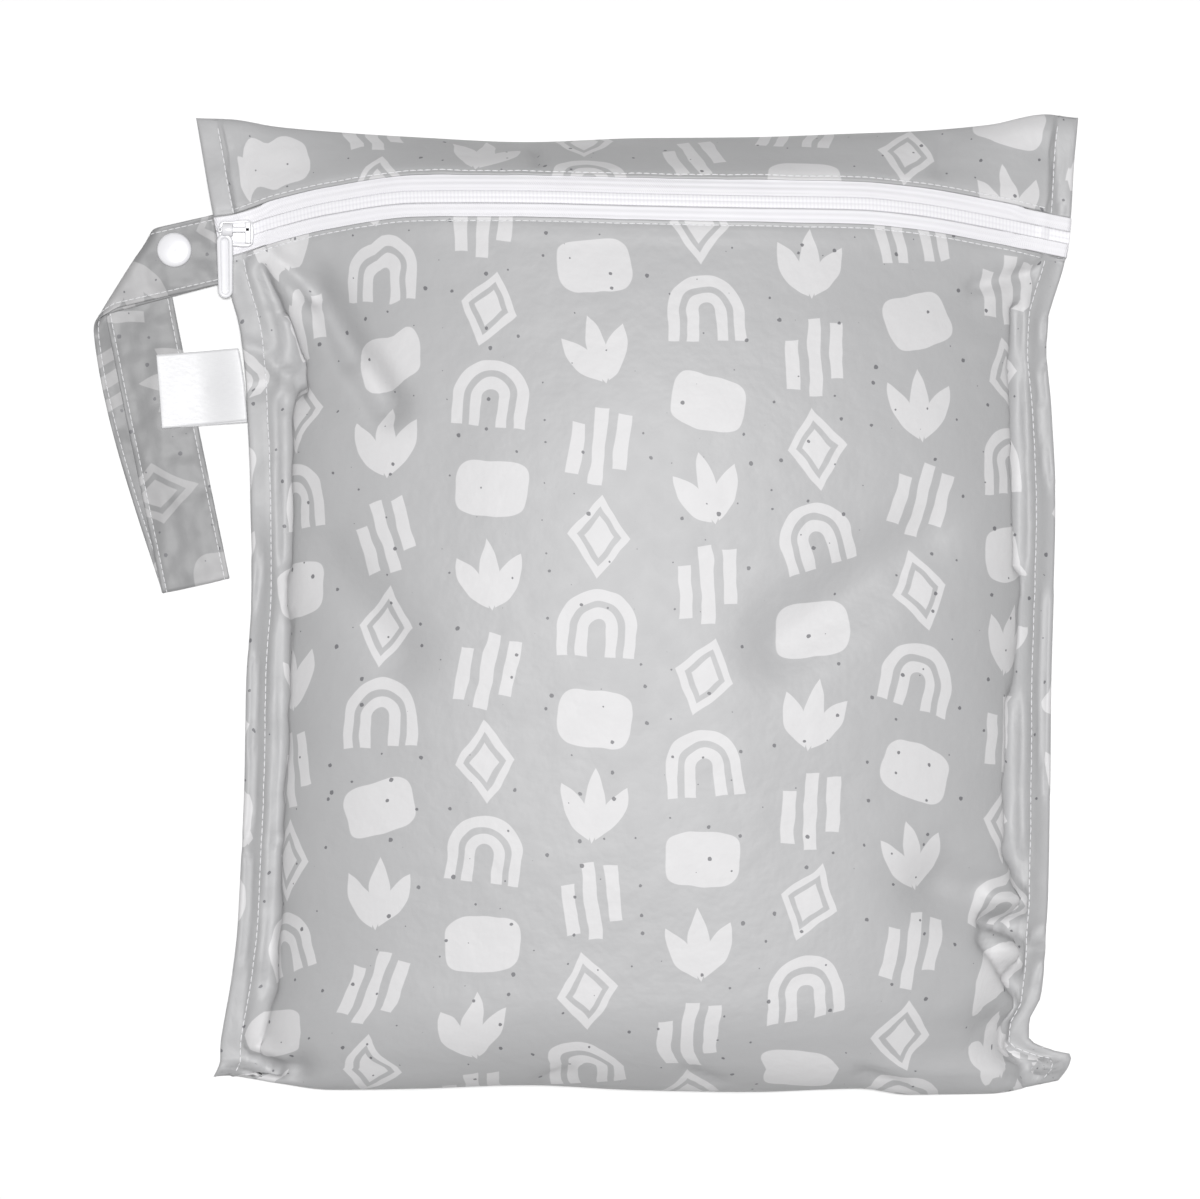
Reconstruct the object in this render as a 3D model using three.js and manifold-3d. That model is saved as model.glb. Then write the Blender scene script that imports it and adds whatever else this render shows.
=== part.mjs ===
// A cloth wet bag for diapers: full, zipped shut and lying on its back, with its snap strap beside it.
// Millimetres. +X is across the bag, +Y is towards its zipper, +Z is up from the surface it lies on.
// The origin is in the middle of the bag's flat back.

import * as THREE from "three";
import { mergeVertices } from "three/addons/utils/BufferGeometryUtils.js";
import Module from "manifold-3d";

const wasm = await Module();
wasm.setup();

// Bag
const bagWidth = 305; // across the top corners, outer fold to outer fold
const bagLength = 337; // top fold to bottom fold
const puffHeight = 46; // from the surface to the crown
const clothWall = 1.2;
const seamWidth = 7; // side seam, outer fold to topstitch
const seamHeight = 6; // middle of the side seam above the surface, at mid-length
const shelfRise = 1.6; // how far the cloth has left the seam's plane at the crease
const clearance = 0.3; // between pieces that touch

// Zipper
const slitWidth = 14.6; // between the two folded cloth edges
const tapeThick = 0.8;
const tapeLap = 5; // tape behind the lower cloth edge; the header folds down at the upper one
const coilWidth = 4.2;
const coilThick = 1.4;

// Slider and pull
const sliderLength = 12;
const sliderWidth = 9.6;
const sliderPlate = 1.4;
const sliderInset = 6.8; // seam's outer fold to the slider's middle
const barRadius = 1;
const barOffset = 1; // bar from the slider's middle, towards the top
const postWidth = 1.2; // outer post
const crosspieceWidth = 2; // inner post, along the zipper
const crosspieceDepth = 7.4; // inner post, across the zipper
const crosspieceInset = 0.7;
const pullLength = 23.8; // bar to tip
const pullWidth = 5.6;
const pullThick = 1.8;
const pullRecess = 0.5;
const pullRim = 1.4; // rim round the recess
const knuckleWall = 1;
const knuckleWidth = 3.6;
const knuckleClearance = 0.35;

// Strap
const strapWidth = 24;
const strapThick = 1;
const strapLayerGap = 0.4; // between the layers that lie on one another
const strapTopHeight = 5.4; // middle of the top layer above the surface
const strapRun = 28.9; // seam to the middle of the diagonal fold
const strapDrop = 116.4; // diagonal fold to the end fold, along the ribbon
const strapAngle = 193; // direction of the upper part, degrees from +X
const strapFoldAngle = 238; // direction of the diagonal fold
const strapEndSkew = -0.7; // how far the end fold is from square
const strapTuck = 2; // loose end under the seam

// Snap
const snapDiameter = 12;
const snapHeight = 2.1;
const snapInset = 15; // from the seam, along the strap
const snapOffset = 3; // from the strap's middle line, towards its top edge
const snapPost = 3.4;
const snapBackDiameter = 8;
const snapBackHeight = 1.6;

// Label
const labelLength = 29.5;
const labelHeight = 25;
const labelThick = 1;
const labelAngle = 184.7; // degrees from +X, from the seam outwards

// Places along the bag, as shares of its length from the middle
const strapPlace = 0.3635;
const labelPlace = 0.224;

// Rows from the bottom fold (0) to the top fold (1) have the slit between these two.
const slitLowRow = 0.9;
const slitHighRow = 0.95;

// The bag's side edges. at: share of the length, from the middle. left, right: outer fold, share of the
// half width. shelfLeft, shelfRight: flat cloth between topstitch and crease, share of the seam width.
// seam: height of the seam, share of its height at mid-length.
const sideEdges = [
  { at: -0.495, left: -0.97, right: 0.95, shelfLeft: 0.4, shelfRight: 0.4, seam: 0.25 },
  { at: -0.475, left: -0.951, right: 0.986, shelfLeft: 0.8, shelfRight: 1.4, seam: 0.3 },
  { at: -0.46, left: -0.951, right: 0.965, shelfLeft: 1.0, shelfRight: 1.5, seam: 0.4 },
  { at: -0.44, left: -0.944, right: 0.893, shelfLeft: 1.1, shelfRight: 0.6, seam: 0.5 },
  { at: -0.425, left: -0.938, right: 0.893, shelfLeft: 1.1, shelfRight: 0.5, seam: 0.6 },
  { at: -0.4, left: -0.928, right: 0.92, shelfLeft: 1.1, shelfRight: 0.6, seam: 0.75 },
  { at: -0.34, left: -0.911, right: 0.931, shelfLeft: 1.05, shelfRight: 0.8, seam: 0.95 },
  { at: -0.29, left: -0.905, right: 0.937, shelfLeft: 1.0, shelfRight: 0.85, seam: 1.0 },
  { at: -0.19, left: -0.895, right: 0.941, shelfLeft: 1.0, shelfRight: 1.0, seam: 1.0 },
  { at: -0.09, left: -0.891, right: 0.943, shelfLeft: 0.9, shelfRight: 0.9, seam: 1.0 },
  { at: 0.01, left: -0.879, right: 0.949, shelfLeft: 0.75, shelfRight: 0.8, seam: 1.0 },
  { at: 0.1, left: -0.88, right: 0.953, shelfLeft: 0.75, shelfRight: 0.8, seam: 1.0 },
  { at: 0.2, left: -0.889, right: 0.943, shelfLeft: 0.95, shelfRight: 0.75, seam: 1.0 },
  { at: 0.253, left: -0.897, right: 0.933, shelfLeft: 1.3, shelfRight: 0.7, seam: 1.0 },
  { at: 0.288, left: -0.91, right: 0.937, shelfLeft: 1.2, shelfRight: 0.7, seam: 1.0 },
  { at: 0.302, left: -0.919, right: 0.945, shelfLeft: 1.0, shelfRight: 0.6, seam: 1.0 },
  { at: 0.352, left: -0.945, right: 0.976, shelfLeft: 0.5, shelfRight: 0.5, seam: 1.0 },
  { at: 0.402, left: -0.967, right: 0.989, shelfLeft: 0.3, shelfRight: 0.3, seam: 0.9 },
  { at: 0.452, left: -0.987, right: 0.996, shelfLeft: 0.3, shelfRight: 0.3, seam: 0.6 },
  { at: 0.5, left: -1.006, right: 1.006, shelfLeft: 0.3, shelfRight: 0.3, seam: 0.3 },
];

// Lines that cross the bag. at: share of the half width, from the middle. top, zip, bottom: the top fold,
// the middle of the zipper and the bottom fold, shares of the length from the middle.
const crossLines = [
  { at: -1.0, top: 0.499, zip: 0.373, bottom: -0.492 },
  { at: -0.93, top: 0.498, zip: 0.3765, bottom: -0.489 },
  { at: -0.82, top: 0.49, zip: 0.391, bottom: -0.495 },
  { at: -0.7, top: 0.485, zip: 0.403, bottom: -0.501 },
  { at: -0.5, top: 0.479, zip: 0.413, bottom: -0.499 },
  { at: -0.25, top: 0.474, zip: 0.412, bottom: -0.495 },
  { at: 0.0, top: 0.478, zip: 0.409, bottom: -0.5 },
  { at: 0.25, top: 0.479, zip: 0.407, bottom: -0.502 },
  { at: 0.5, top: 0.483, zip: 0.406, bottom: -0.499 },
  { at: 0.62, top: 0.485, zip: 0.402, bottom: -0.506 },
  { at: 0.8, top: 0.492, zip: 0.39, bottom: -0.506 },
  { at: 0.93, top: 0.503, zip: 0.379, bottom: -0.497 },
  { at: 1.0, top: 0.5, zip: 0.3725, bottom: -0.49 },
];

// The crown from end to end. row: place between the folds. crest: height of the middle, share of the puff
// height. power: how square the section is across. wall: how upright its sides are (0.5 is upright).
const crownProfile = [
  { row: 0.0, crest: 0.84, powerLeft: 2.6, powerRight: 2.4, wall: 0.62 },
  { row: 0.12, crest: 0.9, powerLeft: 2.8, powerRight: 2.3, wall: 0.56 },
  { row: 0.3, crest: 0.98, powerLeft: 2.8, powerRight: 2.2, wall: 0.54 },
  { row: 0.5, crest: 1.0, powerLeft: 2.7, powerRight: 2.2, wall: 0.54 },
  { row: 0.66, crest: 0.98, powerLeft: 2.5, powerRight: 2.2, wall: 0.56 },
  { row: 0.78, crest: 0.92, powerLeft: 2.3, powerRight: 2.2, wall: 0.66 },
  { row: 0.9, crest: 0.76, powerLeft: 2.6, powerRight: 2.6, wall: 1.35 },
  { row: 0.95, crest: 0.66, powerLeft: 2.6, powerRight: 2.6, wall: 1.4 },
  { row: 0.978, crest: 0.4, powerLeft: 2.6, powerRight: 2.6, wall: 1.4 },
  { row: 1.0, crest: 0.075, powerLeft: 2.6, powerRight: 2.6, wall: 1.4 },
];
const bottomFoldHeight = 0.29; // middle of the bottom fold, share of the puff height
const bottomRoundRows = 0.1; // rows over which the front rounds over to the bottom fold
const backRoundRows = 0.055; // the same under the bag
const backFlatShare = 0.8; // share of the half width, inside the creases, that lies flat

// Dents and soft folds in the front, each along a line. fromX, toX: shares of the half width. fromY, toY,
// width: shares of the length. depth: share of the puff height.
const dents = [
  { name: "pucker under the zipper", fromX: -0.73, fromY: 0.314, toX: -0.65, toY: 0.248, width: 0.012, depth: 0.07 },
  { name: "left sag", fromX: -0.7, fromY: 0.043, toX: -0.54, toY: -0.05, width: 0.03, depth: 0.09 },
  { name: "right sag", fromX: 0.64, fromY: 0.064, toX: 0.32, toY: -0.04, width: 0.034, depth: 0.09 },
  { name: "right hollow", fromX: 0.68, fromY: -0.29, toX: 0.84, toY: -0.32, width: 0.035, depth: 0.26 },
  { name: "low left crumple", fromX: -0.86, fromY: -0.44, toX: -0.78, toY: -0.475, width: 0.02, depth: 0.12 },
  { name: "low right crumple", fromX: 0.8, fromY: -0.43, toX: 0.88, toY: -0.465, width: 0.02, depth: 0.16 },
];

const radians = THREE.MathUtils.degToRad;
const lerp = THREE.MathUtils.lerp;
const clamp = THREE.MathUtils.clamp;

// A smooth curve through one column of a table, with no overshoot between its rows.
function curve(table, key, column) {
  const xs = table.map((row) => row[key]);
  const ys = table.map((row) => row[column]);
  const steps = xs.slice(1).map((x, i) => x - xs[i]);
  const slopes = steps.map((step, i) => (ys[i + 1] - ys[i]) / step);
  const tangents = ys.map((_, i) => {
    if (i === 0) return slopes[0];
    if (i === ys.length - 1) return slopes[i - 1];
    if (slopes[i - 1] * slopes[i] <= 0) return 0;
    const before = 2 * steps[i] + steps[i - 1];
    const after = steps[i] + 2 * steps[i - 1];
    return (before + after) / (before / slopes[i - 1] + after / slopes[i]);
  });
  return (x) => {
    const held = clamp(x, xs[0], xs[xs.length - 1]);
    let i = 0;
    while (i < steps.length - 1 && held > xs[i + 1]) i += 1;
    const t = (held - xs[i]) / steps[i];
    const rise = t * t * (3 - 2 * t);
    return (
      lerp(ys[i], ys[i + 1], rise) +
      steps[i] * t * (1 - t) * ((1 - t) * tangents[i] - t * tangents[i + 1])
    );
  };
}

const edgeLeft = curve(sideEdges, "at", "left");
const edgeRight = curve(sideEdges, "at", "right");
const shelfLeft = curve(sideEdges, "at", "shelfLeft");
const shelfRight = curve(sideEdges, "at", "shelfRight");
const seamCurve = curve(sideEdges, "at", "seam");
const topLine = curve(crossLines, "at", "top");
const zipLine = curve(crossLines, "at", "zip");
const bottomLine = curve(crossLines, "at", "bottom");
const crestCurve = curve(crownProfile, "row", "crest");
const powerLeft = curve(crownProfile, "row", "powerLeft");
const powerRight = curve(crownProfile, "row", "powerRight");
const wallCurve = curve(crownProfile, "row", "wall");

const halfWidth = bagWidth / 2;

// Y of a row where it crosses x: straight between the bottom fold, the slit's two edges and the top fold.
function rowY(x, row) {
  const at = x / halfWidth;
  const zip = zipLine(at) * bagLength;
  const low = zip - slitWidth / 2;
  const high = zip + slitWidth / 2;
  if (row <= slitLowRow) return lerp(bottomLine(at) * bagLength, low, row / slitLowRow);
  if (row <= slitHighRow) return lerp(low, high, (row - slitLowRow) / (slitHighRow - slitLowRow));
  return lerp(high, topLine(at) * bagLength, (row - slitHighRow) / (1 - slitHighRow));
}

// X of the outer fold, topstitch and crease on one side (-1 left, 1 right) of a row.
function sideX(side, row) {
  const at = rowY(side * halfWidth, row) / bagLength;
  const outer = (side < 0 ? edgeLeft : edgeRight)(at) * halfWidth;
  const shelf = (side < 0 ? shelfLeft : shelfRight)(at) * seamWidth;
  const stitch = outer - side * seamWidth;
  return { outer, stitch, crease: stitch - side * shelf };
}

function seamZ(row) {
  const at = (rowY(-halfWidth, row) + rowY(halfWidth, row)) / 2 / bagLength;
  return seamCurve(at) * seamHeight;
}

// 0 at a fold, 1 once the row is more than span away from it, with a round shoulder.
function rounded(distance, span) {
  const left = 1 - clamp(distance / span, 0, 1);
  return Math.sqrt(1 - left * left);
}

// Place of x between the creases, -1 to 1, and how far up the section is there, 0 to 1.
function section(x, row) {
  const left = sideX(-1, row).crease;
  const right = sideX(1, row).crease;
  const across = clamp((2 * x - left - right) / (right - left), -1, 1);
  const power = across < 0 ? powerLeft(row) : powerRight(row);
  const rise = Math.pow(1 - Math.pow(Math.abs(across), power), wallCurve(row));
  return { across, rise };
}

// How far x is from the topstitch (0) to the crease (1).
function onShelf(x, row) {
  const { stitch, crease } = sideX(x < 0 ? -1 : 1, row);
  return clamp((x - stitch) / (crease - stitch), 0, 1);
}

function dentDepth(x, y) {
  let depth = 0;
  for (const dent of dents) {
    const from = new THREE.Vector2(dent.fromX * halfWidth, dent.fromY * bagLength);
    const to = new THREE.Vector2(dent.toX * halfWidth, dent.toY * bagLength);
    const along = to.clone().sub(from);
    const point = new THREE.Vector2(x, y).sub(from);
    const share = clamp(point.dot(along) / along.lengthSq(), 0, 1);
    const distance = point.sub(along.multiplyScalar(share)).length() / (dent.width * bagLength);
    depth += dent.depth * puffHeight * Math.exp(-distance * distance);
  }
  return depth;
}

function frontPoint(x, row) {
  const y = rowY(x, row);
  const base = seamZ(row);
  const { rise } = section(x, row);
  const fold = bottomFoldHeight * puffHeight;
  const crest = lerp(fold, crestCurve(row) * puffHeight, rounded(row, bottomRoundRows));
  const open = rounded(Math.min(row, 1 - row), 0.012);
  const lift = open * (clothWall + shelfRise * onShelf(x, row));
  const dent = dentDepth(x, y) * Math.sqrt(rise) * open;
  return new THREE.Vector3(x, y, base + lift + (crest - base - lift) * rise - dent);
}

function backPoint(x, row) {
  const base = seamZ(row);
  const { across, rise } = section(x, row);
  const nearTop = row > 0.5;
  const foldCrest = nearTop ? crestCurve(1) * puffHeight : bottomFoldHeight * puffHeight;
  const foldBase = seamZ(nearTop ? 1 : 0);
  const fold = foldBase + (foldCrest - foldBase) * section(x, nearTop ? 1 : 0).rise;
  const inward = clamp((1 - Math.abs(across)) / (1 - backFlatShare), 0, 1);
  const lifted = 1 - inward * inward * (3 - 2 * inward);
  const seam = base - clothWall - shelfRise * onShelf(x, row) * 0.5;
  const span = lerp(0.012, nearTop ? 0.02 : backRoundRows, rise);
  const away = rounded(Math.min(row, 1 - row), span);
  return new THREE.Vector3(x, rowY(x, row), lerp(fold, Math.max(seam, 0) * lifted, away));
}

// A mesh's corners, welded by place, with faces added as triangles or quads that skip what has no area.
class Skin {
  constructor() {
    this.places = new Map();
    this.positions = [];
    this.indices = [];
  }

  corner(point) {
    const key = point.toArray().map((value) => Math.round(value * 2000)).join(",");
    if (!this.places.has(key)) {
      this.places.set(key, this.positions.length / 3);
      this.positions.push(point.x, point.y, point.z);
    }
    return this.places.get(key);
  }

  triangle(a, b, c) {
    const [i, j, k] = [a, b, c].map((point) => this.corner(point));
    if (i !== j && j !== k && k !== i) this.indices.push(i, j, k);
  }

  // a, b, c, d run anticlockwise seen from outside.
  quad(a, b, c, d) {
    this.triangle(a, b, c);
    this.triangle(a, c, d);
  }

  // A grid of points, grid[i][j]; turned flips its faces; keep(i, j) says which quads are wanted.
  sheet(grid, turned, keep = () => true) {
    for (let i = 0; i < grid.length - 1; i += 1) {
      for (let j = 0; j < grid[i].length - 1; j += 1) {
        if (!keep(i, j)) continue;
        const corners = [grid[i][j], grid[i + 1][j], grid[i + 1][j + 1], grid[i][j + 1]];
        this.quad(...(turned ? corners.reverse() : corners));
      }
    }
  }

  geometry() {
    const geometry = new THREE.BufferGeometry();
    geometry.setAttribute("position", new THREE.Float32BufferAttribute(this.positions, 3));
    geometry.setIndex(this.indices);
    geometry.computeVertexNormals();
    return geometry;
  }
}

// Unit normals of a grid of points, by differences along and across it.
function gridNormals(grid) {
  return grid.map((line, i) =>
    line.map((_, j) => {
      const before = grid[Math.max(i - 1, 0)][j];
      const after = grid[Math.min(i + 1, grid.length - 1)][j];
      const under = line[Math.max(j - 1, 0)];
      const over = line[Math.min(j + 1, line.length - 1)];
      const across = after.clone().sub(before);
      return across.cross(over.clone().sub(under)).normalize();
    }),
  );
}

// A closed solid between two offsets of a grid: top and under are offset(i, j) along the grid's normals.
function slab(grid, top, under) {
  const normals = gridNormals(grid);
  const moved = (offset) =>
    grid.map((line, i) => line.map((p, j) => p.clone().addScaledVector(normals[i][j], offset(i, j))));
  const upper = moved(top);
  const lower = moved(under);
  const skin = new Skin();
  skin.sheet(upper, false);
  skin.sheet(lower, true);
  const last = grid.length - 1;
  const end = grid[0].length - 1;
  for (let j = 0; j < end; j += 1) {
    skin.quad(lower[0][j + 1], lower[0][j], upper[0][j], upper[0][j + 1]);
    skin.quad(lower[last][j], lower[last][j + 1], upper[last][j + 1], upper[last][j]);
  }
  for (let i = 0; i < last; i += 1) {
    skin.quad(lower[i][0], lower[i + 1][0], upper[i + 1][0], upper[i][0]);
    skin.quad(lower[i + 1][end], lower[i][end], upper[i][end], upper[i + 1][end]);
  }
  return skin.geometry();
}

// Columns across the bag: outer fold, topstitch, crease, the crown between the creases, and back out.
const crownColumns = 22;
const columns = [
  { line: "outer", side: -1 },
  { line: "stitch", side: -1 },
  ...Array.from({ length: crownColumns + 1 }, (_, k) => ({
    across: -Math.cos((Math.PI * k) / crownColumns),
  })),
  { line: "stitch", side: 1 },
  { line: "outer", side: 1 },
];
const lastColumn = columns.length - 1;

function columnX(column, row) {
  if (column.line) return sideX(column.side, row)[column.line];
  const left = sideX(-1, row).crease;
  const right = sideX(1, row).crease;
  return lerp(left, right, (column.across + 1) / 2);
}

// Rows from the bottom fold to the top fold, closer together where the cloth turns.
const rows = [
  ...[0, 0.003, 0.01, 0.022, 0.036, 0.05, 0.066, 0.084, 0.105],
  ...Array.from({ length: 17 }, (_, k) => 0.145 + 0.0445 * k),
  ...[slitLowRow, (slitLowRow + slitHighRow) / 2, slitHighRow],
  ...[0.962, 0.974, 0.986, 0.994, 1],
];
const slitLowIndex = rows.indexOf(slitLowRow);
const slitHighIndex = rows.indexOf(slitHighRow);
const inSlit = (j) => j >= slitLowIndex && j < slitHighIndex;

// The cloth: an outer skin and an inner one, a wall apart, that meet at the topstitch, and the slit's rim.
function bodyGeometry() {
  const front = columns.map((column) => rows.map((row) => frontPoint(columnX(column, row), row)));
  const back = columns.map((column) => rows.map((row) => backPoint(columnX(column, row), row)));
  const lastRow = rows.length - 1;

  // The normal on a fold is the mean of the front's and the back's.
  const frontNormals = gridNormals(front);
  const backNormals = gridNormals(back).map((line) => line.map((normal) => normal.negate()));
  for (const j of [0, lastRow]) {
    columns.forEach((_, i) => {
      const outward = new THREE.Vector3(0, j === 0 ? -1 : 1, 0);
      frontNormals[i][j] = outward;
      backNormals[i][j] = outward;
    });
  }

  const middle = (i, j) => front[i][j].clone().add(back[i][j]).multiplyScalar(0.5);
  const solidSeam = (i) => i <= 1 || i >= lastColumn - 1;
  const inner = (grid, normals) =>
    grid.map((line, i) =>
      line.map((p, j) =>
        solidSeam(i) ? middle(i, j) : p.clone().addScaledVector(normals[i][j], -clothWall),
      ),
    );
  const innerFront = inner(front, frontNormals);
  const innerBack = inner(back, backNormals);

  const skin = new Skin();
  const hollow = (i) => i >= 1 && i < lastColumn - 1;
  skin.sheet(front, false, (i, j) => !inSlit(j));
  skin.sheet(back, true);
  skin.sheet(innerFront, true, (i, j) => hollow(i) && !inSlit(j));
  skin.sheet(innerBack, false, (i) => hollow(i));
  skin.sheet(innerFront, false, (i, j) => !hollow(i) && inSlit(j));

  // The outer folds of the seams; in the slit only the lower ply is there.
  for (const [i, turned] of [
    [0, false],
    [lastColumn, true],
  ]) {
    for (let j = 0; j < lastRow; j += 1) {
      const low = [back[i][j + 1], back[i][j], middle(i, j), middle(i, j + 1)];
      const high = [middle(i, j + 1), middle(i, j), front[i][j], front[i][j + 1]];
      skin.quad(...(turned ? low.reverse() : low));
      if (!inSlit(j)) skin.quad(...(turned ? high.reverse() : high));
    }
  }

  // The slit's two rims.
  for (const [j, turned] of [
    [slitLowIndex, true],
    [slitHighIndex, false],
  ]) {
    for (let i = 0; i < lastColumn; i += 1) {
      const rim = [innerFront[i][j], innerFront[i + 1][j], front[i + 1][j], front[i][j]];
      skin.quad(...(turned ? rim.reverse() : rim));
    }
  }
  return skin.geometry();
}

// Row of a place in the zipper band, by its distance from the slit's middle line towards the top.
function bandRow(distance) {
  const half = slitWidth / 2;
  const inside = clamp(distance, -half, half);
  const row = lerp(slitLowRow, slitHighRow, (inside + half) / slitWidth);
  return row + ((distance - inside) * slitLowRow) / (rowY(0, slitLowRow) - rowY(0, 0));
}

// How deep the band lies below the cloth's outer face, and how far the tape laps behind the cloth's edge:
// between the plies at the seams, behind the cloth inside them.
const bandColumns = columns.map((column, i) => {
  const fromEdge = Math.min(i, lastColumn - i);
  return {
    column,
    depth: fromEdge < 3 ? clearance / 3 : clothWall + clearance,
    lap: fromEdge < 5 ? -clearance : tapeLap,
  };
});

function bandGrid(low, high, steps) {
  return bandColumns.map((place) =>
    Array.from({ length: steps + 1 }, (_, k) => {
      const row = bandRow(lerp(low(place), high(place), k / steps));
      return frontPoint(columnX(place.column, row), row);
    }),
  );
}

function tapeGeometry(side) {
  const edge = (place) => side * (slitWidth / 2 + (side < 0 ? place.lap : -clearance));
  const atCoil = () => side * (coilWidth / 2 + clearance);
  const grid = side < 0 ? bandGrid(edge, atCoil, 3) : bandGrid(atCoil, edge, 3);
  const depth = (i) => bandColumns[i].depth;
  return slab(grid, (i) => -depth(i), (i) => -depth(i) - tapeThick);
}

function coilGeometry() {
  const grid = bandGrid(() => -coilWidth / 2, () => coilWidth / 2, 2);
  const raised = (coilThick - tapeThick) / 2;
  const top = (i) => raised - bandColumns[i].depth;
  return slab(grid, top, (i) => top(i) - (bandColumns[i].depth < clothWall ? tapeThick : coilThick));
}

function solidOf(geometry) {
  const bare = geometry.clone();
  bare.deleteAttribute("normal");
  bare.deleteAttribute("uv");
  const merged = mergeVertices(bare, 1e-4);
  return new wasm.Manifold(
    new wasm.Mesh({
      numProp: 3,
      vertProperties: new Float32Array(merged.attributes.position.array),
      triVerts: new Uint32Array(merged.index.array),
    }),
  );
}

function geometryOf(solid) {
  const mesh = solid.getMesh();
  const geometry = new THREE.BufferGeometry();
  geometry.setAttribute("position", new THREE.BufferAttribute(mesh.vertProperties, 3));
  geometry.setIndex(new THREE.BufferAttribute(mesh.triVerts, 1));
  geometry.computeVertexNormals();
  return geometry;
}

function roundedRectangle(width, height, radius) {
  const x = width / 2 - radius;
  const y = height / 2 - radius;
  const shape = new THREE.Shape();
  shape.absarc(x, -y, radius, -Math.PI / 2, 0);
  shape.absarc(x, y, radius, 0, Math.PI / 2);
  shape.absarc(-x, y, radius, Math.PI / 2, Math.PI);
  shape.absarc(-x, -y, radius, Math.PI, 1.5 * Math.PI);
  return shape;
}

// A plate of a rounded outline, from z 0 up.
function plate(width, height, radius, thick) {
  return new THREE.ExtrudeGeometry(roundedRectangle(width, height, radius), {
    depth: thick,
    bevelEnabled: false,
    curveSegments: 4,
  });
}

function cylinderAlongX(radius, length, sides) {
  return new THREE.CylinderGeometry(radius, radius, length, sides).rotateZ(Math.PI / 2);
}

// The slider's seat: its middle lies on the zipper, near the left seam, above the highest point under it.
const middleRow = (slitLowRow + slitHighRow) / 2;
const sliderX = sideX(-1, middleRow).outer + sliderInset;
const sliderY = rowY(sliderX, middleRow);
const coilRaise = (coilThick - tapeThick) / 2;
const sliderZ =
  Math.max(
    ...[-0.5, 0, 0.5].flatMap((along) =>
      [-0.5, 0, 0.5].map(
        (over) => frontPoint(sliderX + along * sliderLength, bandRow(over * sliderWidth)).z,
      ),
    ),
  ) +
  coilRaise +
  clearance;

const barX = { from: -sliderLength / 2, to: sliderLength / 2 - crosspieceInset };
const knuckleRadius = barRadius + knuckleClearance + knuckleWall;
const barZ = sliderPlate + knuckleRadius + clearance;
const knuckleX = barX.from + postWidth + clearance + knuckleWidth / 2;

// In the slider's own place: the plate's underside is at z 0.
function sliderGeometry() {
  const bar = cylinderAlongX(barRadius, barX.to - barX.from, 16);
  bar.translate((barX.from + barX.to) / 2, barOffset, barZ);
  const outerPost = new THREE.BoxGeometry(postWidth, 2 * barRadius, barZ);
  outerPost.translate(barX.from + postWidth / 2, barOffset, barZ / 2);
  const crosspiece = new THREE.BoxGeometry(crosspieceWidth, crosspieceDepth, barZ + barRadius);
  crosspiece.translate(barX.to - crosspieceWidth / 2, 0, (barZ + barRadius) / 2);
  const outerCap = new THREE.BoxGeometry(postWidth, 2 * barRadius, barRadius);
  outerCap.translate(barX.from + postWidth / 2, barOffset, barZ + barRadius / 2);
  return geometryOf(
    [bar, outerPost, outerCap, crosspiece].reduce(
      (solid, piece) => solid.add(solidOf(piece)),
      solidOf(plate(sliderLength, sliderWidth, 1.6, sliderPlate)),
    ),
  );
}

// In the pull's own place: the bar's axis is X, and the pull points along -Y.
function pullGeometry() {
  const neck = knuckleRadius * 0.6;
  const length = pullLength - neck;
  const blade = plate(pullWidth, length, pullWidth * 0.45, pullThick);
  const shift = barX.from + pullWidth / 2 - 0.6 - knuckleX;
  blade.translate(shift, -neck - length / 2, -pullThick / 2);
  const recess = plate(
    pullWidth - 2 * pullRim,
    length - 2 * pullRim - 5,
    (pullWidth - 2 * pullRim) * 0.49,
    pullRecess * 2,
  );
  recess.translate(shift, -neck - length / 2 - 2, pullThick / 2 - pullRecess);
  const knuckle = cylinderAlongX(knuckleRadius, knuckleWidth, 24);
  const bore = cylinderAlongX(barRadius + knuckleClearance, pullWidth * 3, 24);
  return geometryOf(
    solidOf(blade).add(solidOf(knuckle)).subtract(solidOf(bore)).subtract(solidOf(recess)),
  );
}

// The strap is a flat ribbon, folded. Flat places are (along, over): along from the seam, over from the
// middle line. Each fold has a line in the plan, a bend radius and a way, down (-1) or up (1).
const strapY = strapPlace * bagLength;
const seamEdge = (y) => edgeLeft(y / bagLength) * halfWidth;
const strapStart = new THREE.Vector2(seamEdge(strapY) - clearance, strapY);
const strapPitch = strapThick + strapLayerGap;
const strapLevels = [
  strapTopHeight,
  strapThick / 2,
  strapThick / 2 + strapPitch,
  strapThick / 2 + 2 * strapPitch,
];
const direction = (degrees) => new THREE.Vector2(Math.cos(radians(degrees)), Math.sin(radians(degrees)));

function strapFlat(along, over) {
  return strapStart
    .clone()
    .addScaledVector(direction(strapAngle), along)
    .addScaledVector(direction(strapAngle + 90), over);
}

function makeFold(point, outwardAngle, levelFrom, levelTo) {
  const radius = Math.abs(levelTo - levelFrom) / 2;
  return {
    point,
    outward: direction(outwardAngle),
    radius,
    way: Math.sign(levelTo - levelFrom),
    length: Math.PI * radius,
    past: (p, fold) => p.clone().sub(fold.point).dot(fold.outward),
  };
}

const diagonalPoint = strapFlat(strapRun, 0);
const folds = [makeFold(diagonalPoint, strapFoldAngle - 90, strapLevels[0], strapLevels[1])];

// Where a flat place lies in the plan after the first folds are turned over.
function strapLayer(along, over, count) {
  const p = strapFlat(along, over);
  for (const fold of folds.slice(0, count)) {
    p.addScaledVector(fold.outward, fold.length - 2 * fold.past(p, fold));
  }
  return p;
}

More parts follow.
